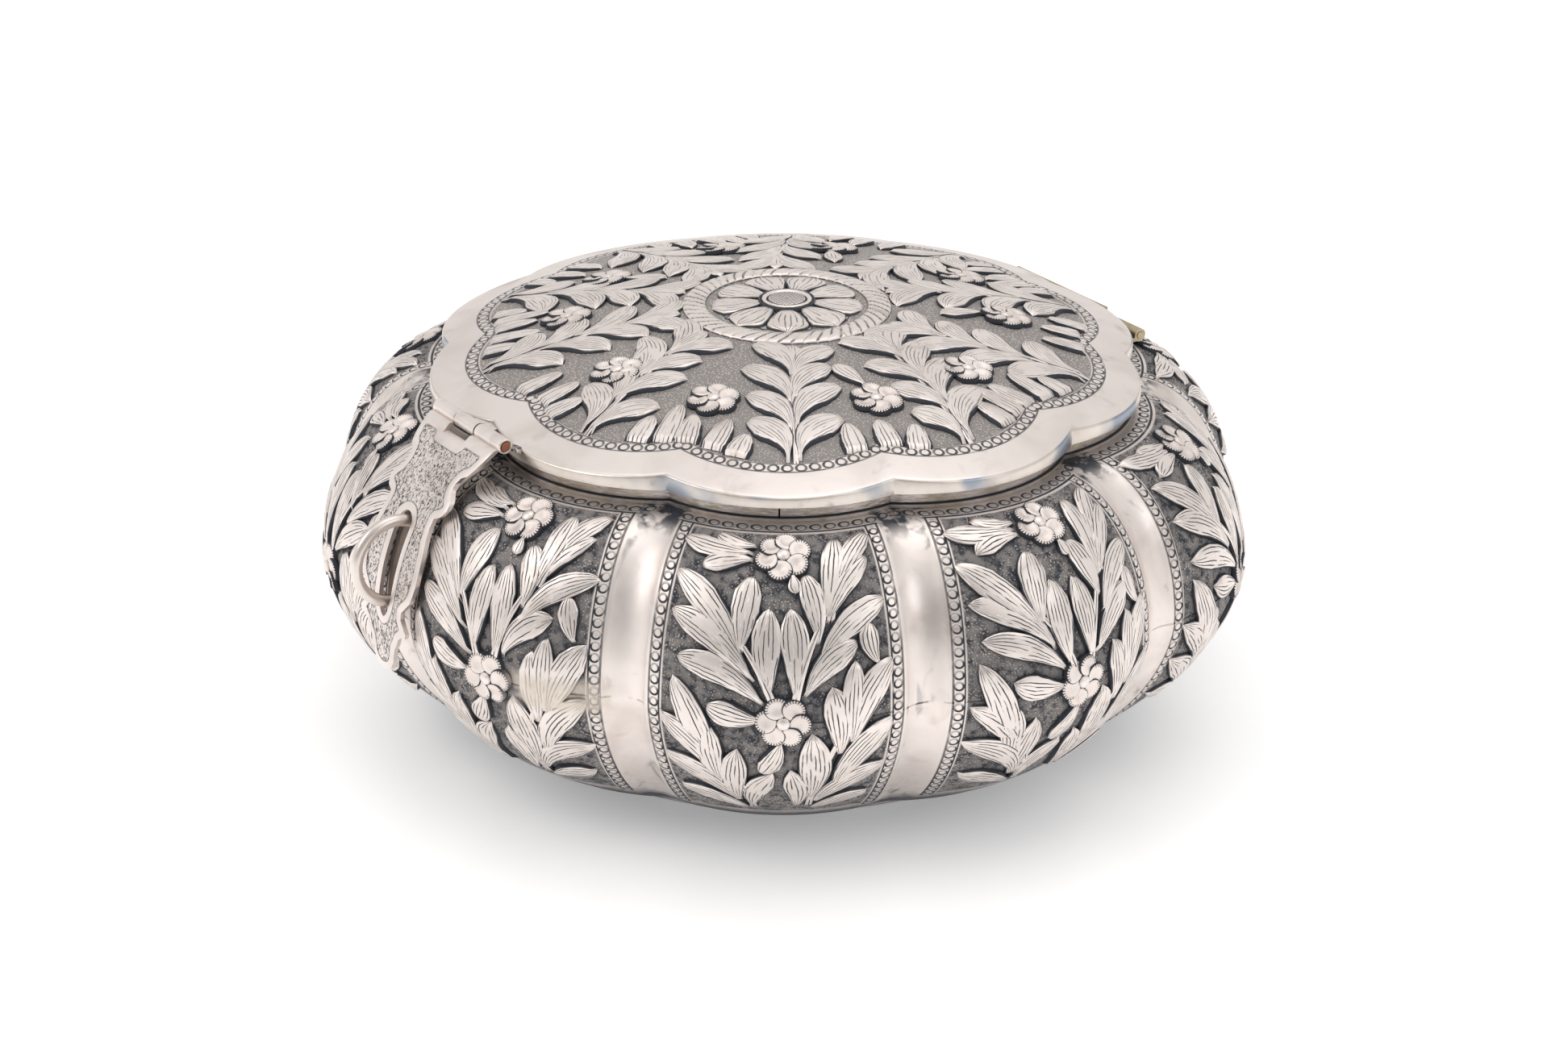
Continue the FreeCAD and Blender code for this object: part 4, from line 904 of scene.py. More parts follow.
def add_knuckle(work, start, end):
    """A knuckle of the hasp along X, with softened ends and a slight waist."""
    angle = np.linspace(0, WHOLE_TURN, 33)[:-1]
    radius, bore, soft = KNUCKLE_RADIUS, KNUCKLE_BORE, 0.18
    shape = [(start + soft, bore), (start, bore + soft),
             (start, radius - soft), (start + soft, radius)]
    for share in (0.25, 0.5, 0.75):
        shape.append((start + (end - start) * share, radius - 0.03 * math.sin(7 * share)))
    shape += [(end - soft, radius), (end, radius - soft), (end, bore + soft), (end - soft, bore)]
    shape.append(shape[0])
    y, z = HASP_HINGE
    rings = []
    for x, reach in shape:
        ring = [0 * angle + x, y + reach * np.cos(angle), z + reach * np.sin(angle)]
        rings.append(np.stack(ring, axis=-1))
    faces = grid_faces(len(rings), len(angle), closed=True)
    faces = np.concatenate([faces[:, [0, 1, 2]], faces[:, [0, 2, 3]]])
    place = np.full((len(rings), len(angle), 2), 0.6)
    work.add(np.stack(rings), faces, {"border": place})


# Place of each lump along the hinge, and its size
SOLDER_LUMPS = [(-13.0, 1.3), (-7.6, 1.0), (-4.4, 1.2), (3.4, 1.3), (8.6, 1.0), (13.2, 1.5)]


def make_solder():
    """Lumps of solder where the hasp's hinge meets the lid."""
    work = Sheetwork("hinge_solder", [])
    chance = random.Random(3)
    for x, size in SOLDER_LUMPS:
        angle = np.linspace(0, WHOLE_TURN, 15)[:-1]
        wobble = 1 + 0.18 * np.array([chance.uniform(-1, 1) for _ in angle])
        rows = []
        for share in np.linspace(0, 1, 6):
            reach = size * math.sin(share * math.pi / 2) * wobble
            top = 0.55 * size * math.cos(share * math.pi / 2) - 0.25
            across = x + 1.5 * reach * np.cos(angle)
            along = -76.2 + 0.7 * reach * np.sin(angle)
            rows.append(np.stack([across, along, 78.5 + top + 0 * angle], axis=-1))
        work.add_grid(np.stack(rows), {}, closed=True)
    return work


class Value:
    """A number that varies over a surface. Sums on it add Math nodes."""

    def __init__(self, finish, socket):
        self.finish = finish
        self.socket = socket

    def math(self, operation, *others, first=None):
        """One Math node of this value and others."""
        values = [self if first is None else first, *others]
        node = self.finish.node("ShaderNodeMath", {"operation": operation}, dict(enumerate(values)))
        return Value(self.finish, node.outputs[0])

    def __add__(self, other):
        return self.math("ADD", other)

    def __sub__(self, other):
        return self.math("SUBTRACT", other)

    def __rsub__(self, other):
        return self.math("SUBTRACT", self, first=other)

    def __mul__(self, other):
        return self.math("MULTIPLY", other)

    def __truediv__(self, other):
        return self.math("DIVIDE", other)

    def __pow__(self, other):
        return self.math("POWER", other)

    __radd__ = __add__
    __rmul__ = __mul__

    def fraction(self):
        """What is left of whole numbers."""
        return self.math("FRACT")

    def size(self):
        """Without its sign."""
        return self.math("ABSOLUTE")

    def most(self, other):
        """The larger of two."""
        return self.math("MAXIMUM", other)

    def between(self, low, high):
        """0 below low, 1 above high, smooth in between."""
        settings = {"interpolation_type": "SMOOTHSTEP"}
        sockets = {"Value": self, "From Min": low, "From Max": high}
        node = self.finish.node("ShaderNodeMapRange", settings, sockets)
        return Value(self.finish, node.outputs["Result"])

    def near(self, centre, half, soft):
        """1 within a half width of a centre, falling to 0 over a soft edge."""
        return (self - centre).size().between(half + soft, half)


class Nodes:
    """A node tree under construction."""

    def __init__(self, owner):
        owner.use_nodes = True
        self.tree = owner.node_tree
        self.tree.nodes.clear()

    def node(self, kind, settings=None, sockets=None):
        """A node of a kind: its settings, a ramp's stops among them, then its values or links."""
        node = self.tree.nodes.new(kind)
        for name, setting in (settings or {}).items():
            if name == "stops":
                self.set_stops(node.color_ramp.elements, setting)
            else:
                setattr(node, name, setting)
        for name, value in (sockets or {}).items():
            self.fill(node.inputs[name], value)
        return node

    def set_stops(self, elements, stops):
        """A ramp's grey stops: each a position and a level."""
        while len(elements) < len(stops):
            elements.new(0.5)
        for element, (position, level) in zip(elements, stops):
            element.position = position
            element.color = (level, level, level, 1)

    def fill(self, socket, value):
        """Sets or links a socket."""
        if isinstance(value, Value):
            value = value.socket
        if isinstance(value, bpy.types.NodeSocket):
            self.tree.links.new(value, socket)
        elif socket.type == "RGBA":
            socket.default_value = (*value, 1)
        else:
            socket.default_value = value


class Finish(Nodes):
    """A node material under construction."""

    def __init__(self, name):
        self.material = bpy.data.materials.new(name)
        super().__init__(self.material)
        self.surface = self.node("ShaderNodeBsdfPrincipled")
        self.node("ShaderNodeOutputMaterial", {}, {"Surface": self.surface.outputs[0]})
        self.place = self.node("ShaderNodeTexCoord").outputs["Object"]

    def mix(self, share, first, second):
        """Colours mixed by a share."""
        settings = {"data_type": "RGBA"}
        return self.node("ShaderNodeMix", settings, {0: share, 6: first, 7: second}).outputs[2]

    def noise(self, spacing, detail=2.0, stretch=None, warp=0.0, place=None):
        """Noise with features of a spacing in millimetres, in the part's own space or another."""
        scale = 1 / (spacing * MM) if place is None else 1 / spacing
        place = place or self.place
        if stretch:
            sockets = {"Vector": place, "Scale": stretch}
            place = self.node("ShaderNodeMapping", {"vector_type": "POINT"}, sockets).outputs[0]
        sockets = {"Vector": place, "Scale": scale, "Detail": detail, "Distortion": warp}
        return Value(self, self.node("ShaderNodeTexNoise", {}, sockets).outputs["Fac"])

    def cells(self, spacing):
        """Distance from the nearest of many scattered dots."""
        sockets = {"Vector": self.place, "Scale": 1 / (spacing * MM)}
        return Value(self, self.node("ShaderNodeTexVoronoi", {}, sockets).outputs["Distance"])

    def layer(self, name):
        """The two numbers of a UV layer."""
        source = self.node("ShaderNodeUVMap", {"uv_map": name}).outputs[0]
        parts = self.node("ShaderNodeSeparateXYZ", {}, {0: source})
        return Value(self, parts.outputs[0]), Value(self, parts.outputs[1])

    def height_mm(self):
        """Height above the table in millimetres."""
        parts = self.node("ShaderNodeSeparateXYZ", {}, {0: self.place})
        return Value(self, parts.outputs[2]) * (1 / MM)

    def painted_low_shade(self):
        """Painted shade, darker toward the bottom of the box, where less light reaches."""
        return self.height_mm().between(30, 4) * 0.45

    def mend(self):
        """1 where solder was run over the belly's seam long ago."""
        ends = {0: self.place, 1: MEND_PLACE}
        near = self.node("ShaderNodeVectorMath", {"operation": "DISTANCE"}, ends)
        ragged = self.noise(3.5, 3) - 0.5
        low = (self.height_mm() - 40).size().between(5.0, 2.0)
        reach = Value(self, near.outputs["Value"]) * (1 / MM) + ragged * 11
        return reach.between(13.0, 8.0) * low

    def vector(self, first, second, third=0.0):
        """A vector of numbers."""
        return self.node("ShaderNodeCombineXYZ", {}, {0: first, 1: second, 2: third}).outputs[0]

    def corner_shade_and_tarnish(self, reach):
        """1 in tight corners, 0 in the open, where the finishes lay painted shade and tarnish."""
        sockets = {"Distance": reach * MM}
        node = self.node("ShaderNodeAmbientOcclusion", {"samples": 6}, sockets)
        return 1 - Value(self, node.outputs["AO"])

    def bump(self, height, depth=1.0):
        """A bump of a depth in millimetres."""
        sockets = {"Height": height, "Strength": 1.0, "Distance": depth * MM}
        return self.node("ShaderNodeBump", {}, sockets).outputs[0]

    def metal(self, colour, roughness, metallic, normal):
        """The finished surface."""
        names = "Base Color", "Roughness", "Metallic", "Normal"
        for name, value in zip(names, (colour, roughness, metallic, normal)):
            self.fill(self.surface.inputs[name], value)
        return self.material


# The middle of the old mend over the belly's seam, in metres
MEND_PLACE = (0.0468, -0.0880, 0.0405)
# How soft the edge of a punched ring is, as a share of the rings' spacing
RING_SOFT = 0.07


def clean_silver(finish, warmth=0.0, wear=0.75):
    """Colour of silver with dull and brown patches."""
    shades = sizes("box_colours")
    broad = finish.noise(17, 3, warp=0.6).between(0.35, 0.72) * wear
    brown = finish.noise(9, 4, warp=0.8).between(0.56, 0.76) * 0.3
    clean = finish.mix(broad, shades.silver, shades.silver_dull)
    clean = finish.mix(finish.mend() * 0.45, clean, shades.silver_warm)
    if warmth:
        clean = finish.mix(warmth, clean, shades.silver_warm)
    return finish.mix(brown, clean, shades.brown)


def old_silver(finish, dark, height, polish=0.0, warmth=0.0, wear=0.75):
    """Worn silver: clean where it is rubbed, darkened by tarnish and painted shade where dark is 1.
    """
    fine = finish.noise(1.6, 3)
    dark = (dark + (fine - 0.5) * 0.2).between(0.10, 0.92) * (1 - finish.mend() * 0.8)
    shade = finish.mix(dark, clean_silver(finish, warmth, wear), sizes("box_colours").tarnish_and_shade)
    roughness = 0.36 - polish + fine * 0.12 + dark * 0.25
    return finish.metal(shade, roughness, 1 - dark * 0.5, finish.bump(height + fine * 0.03))


def ring_punch(across, along, radius, lean=0.5):
    """A row of punched rings: 1 in the cut, with painted shade heavier on one side as lean sets,
    and 1 on the button in it.
    """
    cell = along.fraction() - 0.5
    reach = (cell * cell + across * across) ** 0.5
    # Painted shade: each ring's cut is darker on one side, as if lit from the other
    one_side_shade = (cell * -0.8 + across * 0.5).between(-0.22, 0.2) * lean + (1 - lean)
    return reach.near(radius, 0.055, RING_SOFT) * one_side_shade, reach.between(radius, radius - 0.12)


def stippled(finish, corner_shade_and_tarnish, level):
    """The ground behind the leaves: colour and height of a surface pecked all over with a point."""
    shades = sizes("box_colours")
    pecks = finish.cells(0.58)
    burr = pecks.between(0.46, 0.20)
    patch = finish.noise(7, 3).between(0.34, 0.66)
    # Painted shade and tarnish: the ground is darker next to the leaves and lighter in the open
    open_field = corner_shade_and_tarnish.between(0.55, 0.12) * 0.8 + 0.2
    share = finish.noise(1.8, 3).between(0.32 - level * 0.4, 0.62 - level * 0.2) * open_field
    base = finish.mix(share * (0.75 + level), shades.tarnish_and_shade, shades.ground)
    bright = burr * (patch * 0.55 + 0.30 + level) * open_field
    return finish.mix(bright, base, shades.silver_dull), burr * 0.14 + finish.cells(1.2) * 0.12


def chased_sheet(finish, dark, height, ground, corner_shade_and_tarnish, satin, wear=0.75, level=0.0):
    """Silver whose ground, where that is 1, is stippled, and which is plain elsewhere."""
    fine = finish.noise(1.6, 3)
    mend = finish.mend()
    ground = ground * (1 - mend * 0.7)
    dark = (dark + (fine - 0.5) * 0.2).between(0.10, 0.92) * (1 - ground) * (1 - mend * 0.7)
    plain = finish.mix(dark, clean_silver(finish, wear=wear), sizes("box_colours").tarnish_and_shade)
    pits, pit_height = stippled(finish, corner_shade_and_tarnish, level)
    roughness = satin + fine * 0.12 + (dark + ground) * 0.22
    metallic = 1 - (dark * 0.5 + ground * 0.25)
    normal = finish.bump(height + ground * pit_height + fine * 0.02)
    return finish.metal(finish.mix(ground, plain, pits), roughness, metallic, normal)


# Middle of the row of rings beside a flute, from the flute's middle, and of the row round the
# shoulder, from the wall's top edge
RING_ROW = 6.3
COLLAR_ROW = 1.75


def wall_finish():
    """The body's ground, flutes and ring rows."""
    finish = Finish("wall_silver")
    offset, rise = finish.layer("panel")
    along, _ = finish.layer("round")
    top = Wall().highest
    pitch = millimetres("box_wall", "ring_pitch")[0]
    beside_panel = rise.between(-37, -36)
    below_collar = rise.between(top - 4.0, top - 4.4)
    # Rings beside each flute, and round the shoulder
    wander = finish.noise(9, 1) - 0.5
    across = (offset - RING_ROW + wander * 0.4) / pitch
    side_cut, side_button = ring_punch(across, rise / pitch, 0.36)
    side = offset.near(RING_ROW, 1.05, 0.1) * below_collar * beside_panel
    collar_row = top - COLLAR_ROW
    collar_cut, collar_button = ring_punch((rise - collar_row) / 2.6, along, 0.36)
    collar = rise.near(collar_row, 1.2, 0.1) * rise.between(-10, 0)
    rings = side_cut * side + collar_cut * collar
    buttons = side_button * side + collar_button * collar
    # Scored lines on both sides of a row
    broken = finish.noise(5, 3).between(0.30, 0.46)
    lines = offset.near(5.15, 0.12, 0.16) * 0.8 + offset.near(7.45, 0.10, 0.14)
    lines = lines * rise.between(top - 3, top - 3.6) * beside_panel
    lines = lines + rise.near(top - 3.35, 0.14, 0.18) * offset.between(4.2, 5.2)
    lines = lines * (0.55 + broken * 0.45)
    ground = offset.between(7.7, 8.2) * rise.between(top - 4.1, top - 4.6) * rise.between(-36, -35)
    # Darkening: painted shade and tarnish in corners, tarnish run down the flutes and along the
    # seam, darker toward the wall's top edge, and painted shade at the foot
    corner_shade_and_tarnish = finish.corner_shade_and_tarnish(2.4)
    flute = offset.between(4.9, 4.0)
    smudge = finish.noise(6, 3, stretch=(1, 1, 0.5), warp=0.5).between(0.54, 0.72) * flute
    streaks = finish.noise(1.2, 2, stretch=(1, 1, 0.1)) * flute
    run_down = finish.noise(3.2, 2, stretch=(1, 1, 0.2)).between(0.36, 0.58)
    run_down = run_down * rise.between(top - 15, top - 3) * flute
    seam = rise.near(0.0, 0.08, 0.20) * finish.noise(3, 3).between(0.38, 0.52)
    shoulder = rise.between(top - 9, top - 3) * 0.25
    # Painted shade: the foot and the lower body are darkened where less light reaches
    foot = rise.between(-33, -42) * 0.4 + finish.painted_low_shade()
    height = buttons * 0.05 - rings * 0.16 - lines * 0.22 - seam * 0.06 + streaks * 0.02
    dark = rings * 0.9 + lines * 0.8 + seam * 0.4 + smudge * 0.42 + run_down * 0.65
    dark = dark + corner_shade_and_tarnish * 0.4 + shoulder + foot
    return chased_sheet(finish, dark, height, ground, corner_shade_and_tarnish, satin=0.36)


def leaf_finish(name, waves=1.0):
    """A leaf: lines from base to tip, bright on its crown and darkened at its cut edge by painted
    shade and tarnish.
    """
    finish = Finish(name)
    line, run = finish.layer("vein")
    share, across = finish.layer("edge")
    place = finish.vector(line * 0.5, run * 0.30)
    wobble = finish.noise(1.0, 2, place=place) - 0.5
    groove = (line + wobble * 0.5).fraction().near(0.5, 0.065, 0.11)
    stroke = finish.vector(line * 0.9, run * 0.16, 3.0)
    broken = finish.noise(1.0, 2, place=stroke).between(0.40, 0.52)
    groove = groove * broken * across.size().between(0.94, 0.78)
    toward_base = share.between(0.78, 0.40)
    # Painted shade and tarnish along the leaf's steep cut edge
    edge = (across.size() + toward_base * 0.12).between(0.88, 0.97)
    # Darker at the leaf's base, and painted shade low on the body
    foot = share.between(0.16, 0.0) * 0.25 + finish.painted_low_shade()
    # Painted shade and tarnish in corners as well
    dark = groove * 0.86 * waves + edge * 0.9 + foot + finish.corner_shade_and_tarnish(1.0) * 0.22
    return old_silver(finish, dark, groove * -0.14 * waves, wear=0.35)


def petal_finish():
    """A petal: a comb of short cuts on its rim and a soft dimple."""
    finish = Finish("petal_silver")
    comb, reach = finish.layer("vein")
    _, outward = finish.layer("edge")
    cuts = comb.fraction().near(0.5, 0.12, 0.18) * reach.near(0.78, 0.10, 0.05)
    cuts = cuts * outward.between(0.30, 0.55)
    # Painted shade and tarnish round each petal's rim, and a little darker in the dimple
    dark = cuts * 0.7 + reach.between(0.82, 0.93) * 0.95 + reach.between(0.5, 0.1) * 0.12
    # Painted shade and tarnish in corners, and painted shade low on the body
    dark = dark + finish.corner_shade_and_tarnish(1.2) * 0.5 + finish.painted_low_shade()
    return old_silver(finish, dark, cuts * -0.10, polish=-0.12, wear=0.6)


def boss_finish(name="boss_silver", hatched=False):
    """The boss of a flower, cut round its foot, or the hatched one of the lid's rosette."""
    finish = Finish(name)
    hatch, reach = finish.layer("vein")
    # A dark cut round the foot, and painted shade and tarnish in corners
    dark = reach.between(0.82, 0.98) * 0.95 + finish.corner_shade_and_tarnish(1.0) * 0.4
    if hatched:
        parts = finish.node("ShaderNodeSeparateXYZ", {}, {0: finish.place})
        across = Value(finish, parts.outputs[0]) / (0.62 * MM)
        along = Value(finish, parts.outputs[1]) / (1.0 * MM)
        first = (across + along * 0.35).fraction().near(0.5, 0.12, 0.16)
        second = (along - across * 0.2).fraction().near(0.5, 0.08, 0.14) * 0.6
        cuts = first.most(second) * reach.between(0.60, 0.56) * 0.8
        dark = reach.near(0.64, 0.02, 0.04) * 0.8 + reach.near(0.86, 0.02, 0.04) * 0.8 + dark
    else:
        cuts = hatch.fraction().near(0.5, 0.1, 0.2) * reach.between(0.62, 0.75) * 0.4
    return old_silver(finish, dark + cuts, cuts * -0.1, polish=0.04, wear=0.4)


LID_RING_PITCH = 2.8


def lid_finish():
    """The lid's rim, ring row and ground."""
    finish = Finish("lid_silver")
    distance, turn = finish.layer("ring")
    ring_arc, ground_arc = millimetres("box_lid", "ring_arc", "ground_arc")
    pitch = LID_RING_PITCH
    from_row = (distance - ring_arc) / pitch
    # The lid's rings take little of the painted one-sided shade
    cut, button = ring_punch(from_row, turn * (ring_arc / pitch), 0.36, lean=0.15)
    row = distance.near(ring_arc, 1.05, 0.1)
    lines = distance.near(ring_arc + 1.25, 0.10, 0.14)
    lines = lines + distance.near(ground_arc + 0.05, 0.10, 0.14)
    lines = lines * (0.55 + finish.noise(5, 3).between(0.30, 0.46) * 0.45)
    ground = distance.between(ground_arc - 0.2, ground_arc - 0.6)
    scratch = finish.noise(0.5, 2, stretch=(1, 0.06, 1)).between(0.64, 0.72) * 0.12
    corner_shade_and_tarnish = finish.corner_shade_and_tarnish(2.2)
    height = button * row * 0.10 - cut * row * 0.16 - lines * 0.2
    # Painted shade and tarnish in corners
    dark = cut * row * 0.8 + lines * 0.7 + corner_shade_and_tarnish * 0.3 + scratch
    looks = {"satin": 0.34, "wear": 0.5, "level": 0.8}
    return chased_sheet(finish, dark, height, ground, corner_shade_and_tarnish, **looks)


def lip_finish():
    """The lid's lip: blue and brown heat stains, tarnish spots, and painted shade with tarnish in
    its corners.
    """
    finish = Finish("lip_silver")
    shades = sizes("box_colours")
    blue = finish.noise(16, 2).between(0.50, 0.66)
    clean = finish.mix(blue * 0.7, clean_silver(finish, warmth=0.25), shades.blue)
    spots = finish.noise(5, 4).between(0.55, 0.75) * 0.35
    # Painted shade and tarnish in corners, with tarnish spots
    dark = (finish.corner_shade_and_tarnish(4) * 0.6 + spots).between(0.05, 0.95)
    shade = finish.mix(dark, clean, shades.tarnish_and_shade)
    fine = finish.noise(1.6, 3)
    return finish.metal(shade, 0.26 + fine * 0.14, 1 - dark * 0.4, finish.bump(fine, 0.04))


def hasp_finish():
    """The hasp: a field of short punched dashes inside a plain border."""
    finish = Finish("hasp_silver")
    border, _ = finish.layer("border")
    field = border.between(1.55, 1.85)
    dashes = finish.noise(0.55, 2, stretch=(1.3, 1, 0.65), warp=1.2).between(0.50, 0.40)
    worn = finish.noise(8, 2).between(0.35, 0.7) * 0.15
    dark = field * (dashes * 0.56 + 0.10 + worn) + border.near(1.65, 0.10, 0.16) * 0.45
    # Painted shade and tarnish in corners
    return old_silver(finish, dark + finish.corner_shade_and_tarnish(2.0) * 0.5, field * dashes * -0.22)


def plain_finish(name, warmth=0.0, dark=0.0, polish=0.0, reach=2.5):
    """Silver without punched work, darkened in its corners by painted shade and tarnish."""
    finish = Finish(name)
    patches = finish.noise(4, 4, warp=0.4).between(0.55, 0.75) * 0.2
    # Painted shade and tarnish in corners, with dull patches and an even darkening
    shade = finish.corner_shade_and_tarnish(reach) * 0.75 + patches + dark
    return old_silver(finish, shade, finish.noise(5, 2) * 0.12, polish, warmth)


def neck_finish():
    """The neck: yellow-brown, with a painted shadow under the lid's lip, a dark line near its foot,
    and painted shade with tarnish at its foot and in the cusps.
    """
    finish = Finish("neck_silver")
    shades = sizes("box_colours")
    height = finish.height_mm()
    patches = finish.noise(7, 4, warp=0.5)
    streaks = finish.noise(2.4, 3, stretch=(1, 1, 3))
    clean = finish.mix(patches.between(0.42, 0.66) * 0.8, shades.silver_dull, shades.silver_warm)
    stained = finish.mix(streaks.between(0.55, 0.75) * 0.5, clean, shades.brown)
    line = height.near(73.25, 0.10, 0.18) * 0.55
    # Painted shadow: a dark band under the lid's lip; painted shade and tarnish in corners; a dark
    # line near the foot
    dark = height.between(75.0, 76.1) * 0.9 + finish.corner_shade_and_tarnish(2.5) * 0.6 + line
    dark = (dark + patches.between(0.62, 0.8) * 0.35 + 0.12).between(0.05, 0.95)
    shade = finish.mix(dark, stained, shades.tarnish_and_shade)
    normal = finish.bump(streaks + patches, 0.12)
    return finish.metal(shade, 0.30 + streaks * 0.14, 1 - dark * 0.45, normal)


def worn_metal(name, shade, roughness):
    """Brass or copper, browned in patches."""
    finish = Finish(name)
    shades = sizes("box_colours")
    patch = finish.noise(3, 4, warp=0.5).between(0.45, 0.7)
    corner_shade_and_tarnish = finish.corner_shade_and_tarnish(1.5)
    worn = finish.mix(patch * 0.45, shade, shades.brown)
    # Painted shade and tarnish in corners
    worn = finish.mix(corner_shade_and_tarnish * 0.8, worn, shades.tarnish_and_shade)
    fine = finish.noise(0.8, 3)
    roughness = roughness + fine * 0.15 + patch * 0.1
    return finish.metal(worn, roughness, 1 - corner_shade_and_tarnish * 0.4, finish.bump(fine, 0.03))


def solder_finish():
    """Dark lumpy solder."""
    finish = Finish("solder")
    shades = sizes("box_colours")
    lumps = finish.noise(1.1, 4, warp=0.6)
    shade = finish.mix(lumps.between(0.35, 0.65), shades.tarnish_and_shade, shades.silver_dull)
    return finish.metal(shade, 0.45 + lumps * 0.2, 0.8, finish.bump(lumps, 0.25))


def dress(node, material):
    """Gives a carried-over node a better finish."""
    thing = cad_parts[node]
    for slot in thing.material_slots:
        slot.material = material


class BOX_OT_walls(bpy.types.Operator):
    """Raise both halves of the body"""
    bl_idname = "box.walls"
    bl_label = "Walls"
    bl_options = {"REGISTER", "UNDO"}

    def execute(self, context):
        outside = wall_finish()
        # Inside: painted shade and tarnish over a wide reach of its corners
        inside = plain_finish("inside_silver", warmth=0.15, dark=0.12, reach=8)
        for upper, node in ((True, "body_upper_half"), (False, "body_lower_half")):
            thing = make_wall_half(upper).make([outside, inside], "base", node)
        return {"FINISHED"}


class BOX_OT_wall_chasing(bpy.types.Operator):
    """Chase the leaves and flowers of the ten lobes"""
    bl_idname = "box.wall_chasing"
    bl_label = "Wall chasing"
    bl_options = {"REGISTER", "UNDO"}

    def execute(self, context):
        wall = Wall()
        work = Sheetwork("wall_chasing", ["vein", "edge"])
        for lobe in range(LOBES):
            degrees = LOBE_TURN * lobe + FRONT_LOBE
            chase_panel(work, wall, degrees, seed=lobe + 11)
        finishes = [leaf_finish("leaf_silver"), petal_finish(), boss_finish()]
        thing = work.make(finishes, "base", smooth_angle=60)
        return {"FINISHED"}


class BOX_OT_lid(bpy.types.Operator):
    """Make the lid and its chasing"""
    bl_idname = "box.lid"
    bl_label = "Lid"
    bl_options = {"REGISTER", "UNDO"}

    def execute(self, context):
        # Inside: painted shade and tarnish over a wide reach of its corners
        inside = plain_finish("lid_inside_silver", warmth=0.15, dark=0.12, reach=6)
        thing = make_lid().make([lid_finish(), inside, lip_finish()], "lid", "lid")
        work = Sheetwork("lid_chasing", ["vein", "edge"])
        for lobe in range(LOBES):
            chase_lid_tenth(work, LOBE_TURN * lobe, seed=lobe + 51)
        chase_rosette(work)
        finishes = [leaf_finish("lid_leaf_silver", waves=0.75), petal_finish(), boss_finish()]
        finishes.append(boss_finish("rosette_boss_silver", hatched=True))
        chasing = work.make(finishes, "lid", smooth_angle=60)
        return {"FINISHED"}


class BOX_OT_hasp(bpy.types.Operator):
    """Make the hasp, its solder and pin, and the staple it closes over"""
    bl_idname = "box.hasp"
    bl_label = "Hasp"
    bl_options = {"REGISTER", "UNDO"}

    def execute(self, context):
        thing = make_hasp().make([hasp_finish()], "hasp", "hasp")
        solder = make_solder().make([solder_finish()], "lid")
        shades = sizes("box_colours")
        dress("hasp_pin", worn_metal("pin_copper", shades.copper, 0.35))
        dress("hasp_hinge_lid_knuckle", plain_finish("knuckle_silver", dark=0.15, reach=1.5))
        wire = plain_finish("wire_silver", warmth=0.12, dark=0.05, polish=0.08, reach=3)
        dress("staple", wire)
        return {"FINISHED"}


class BOX_OT_neck(bpy.types.Operator):
    """Finish the neck, the base and the rear hinge"""
    bl_idname = "box.neck"
    bl_label = "Neck and rear hinge"
    bl_options = {"REGISTER", "UNDO"}

    def execute(self, context):
        shades = sizes("box_colours")
        brass = worn_metal("hinge_brass", shades.brass, 0.32)
        dress("neck_collar", neck_finish())
        dress("base_plate", plain_finish("base_silver", dark=0.1))
        for node in ("rear_hinge_body_leaf", "rear_hinge_lid_leaf", "rear_hinge_pin"):
            dress(node, brass)
        return {"FINISHED"}


class BOX_OT_stage(bpy.types.Operator):
    """Set the floor, lamps, world and camera"""
    bl_idname = "box.stage"
    bl_label = "Stage"
    bl_options = {"REGISTER", "UNDO"}

    def execute(self, context):
        scene = bpy.context.scene
        scene.view_settings.view_transform = "Standard"
        make_floor()
        make_world()
        for name, place, width, power, tint in LAMPS:
            make_lamp(name, place, width, power, tint)
        make_camera()
        return {"FINISHED"}


FLOOR_HALF = 6
FLOOR_COLOUR = (0.97, 0.97, 0.97)
FLOOR_GLOW = 0.27
# The photograph's frame is shifted by this many of its pixels, and turned a little
FRAME_SHIFT = (-2.9, -214)
CAMERA_ROLL = 0.6
CAMERA_TARGET = (0, 0, 79 * MM)
LAMP_TARGET = (0, 0, 0.04)
# Name, place in metres, width in metres, power in watts, colour
LAMPS = [
    ("lamp_key", (-0.35, -1.35, 1.25), 1.1, 6.0, (1.0, 0.985, 0.97)),
    ("lamp_side", (1.45, 0.45, 0.9), 0.8, 2.5, (0.97, 0.985, 1.0)),
    ("lamp_top", (0.0, 0.2, 1.5), 1.2, 3.6, (1.0, 1.0, 1.0)),
]
# The studio is dimmer towards this side, low down: its light by how far a ray points there
WORLD_DARK_SIDE = (0.80, -0.56, -0.22)
WORLD_LEVELS = [(0.0, 0.80), (0.25, 0.77), (0.60, 0.60), (0.85, 0.36), (1.0, 0.32)]


def make_lamp(name, place, width, power, tint):
    """A square soft lamp aimed at the box."""
    light = bpy.data.lights.new(name, "AREA")
    light.size = width
    light.energy = power
    light.color = tint
    thing = bpy.data.objects.new(name, light)
    thing.location = place
    aim = Vector(LAMP_TARGET) - Vector(place)
    thing.rotation_euler = aim.to_track_quat("-Z", "Y").to_euler()
    bpy.context.scene.collection.objects.link(thing)


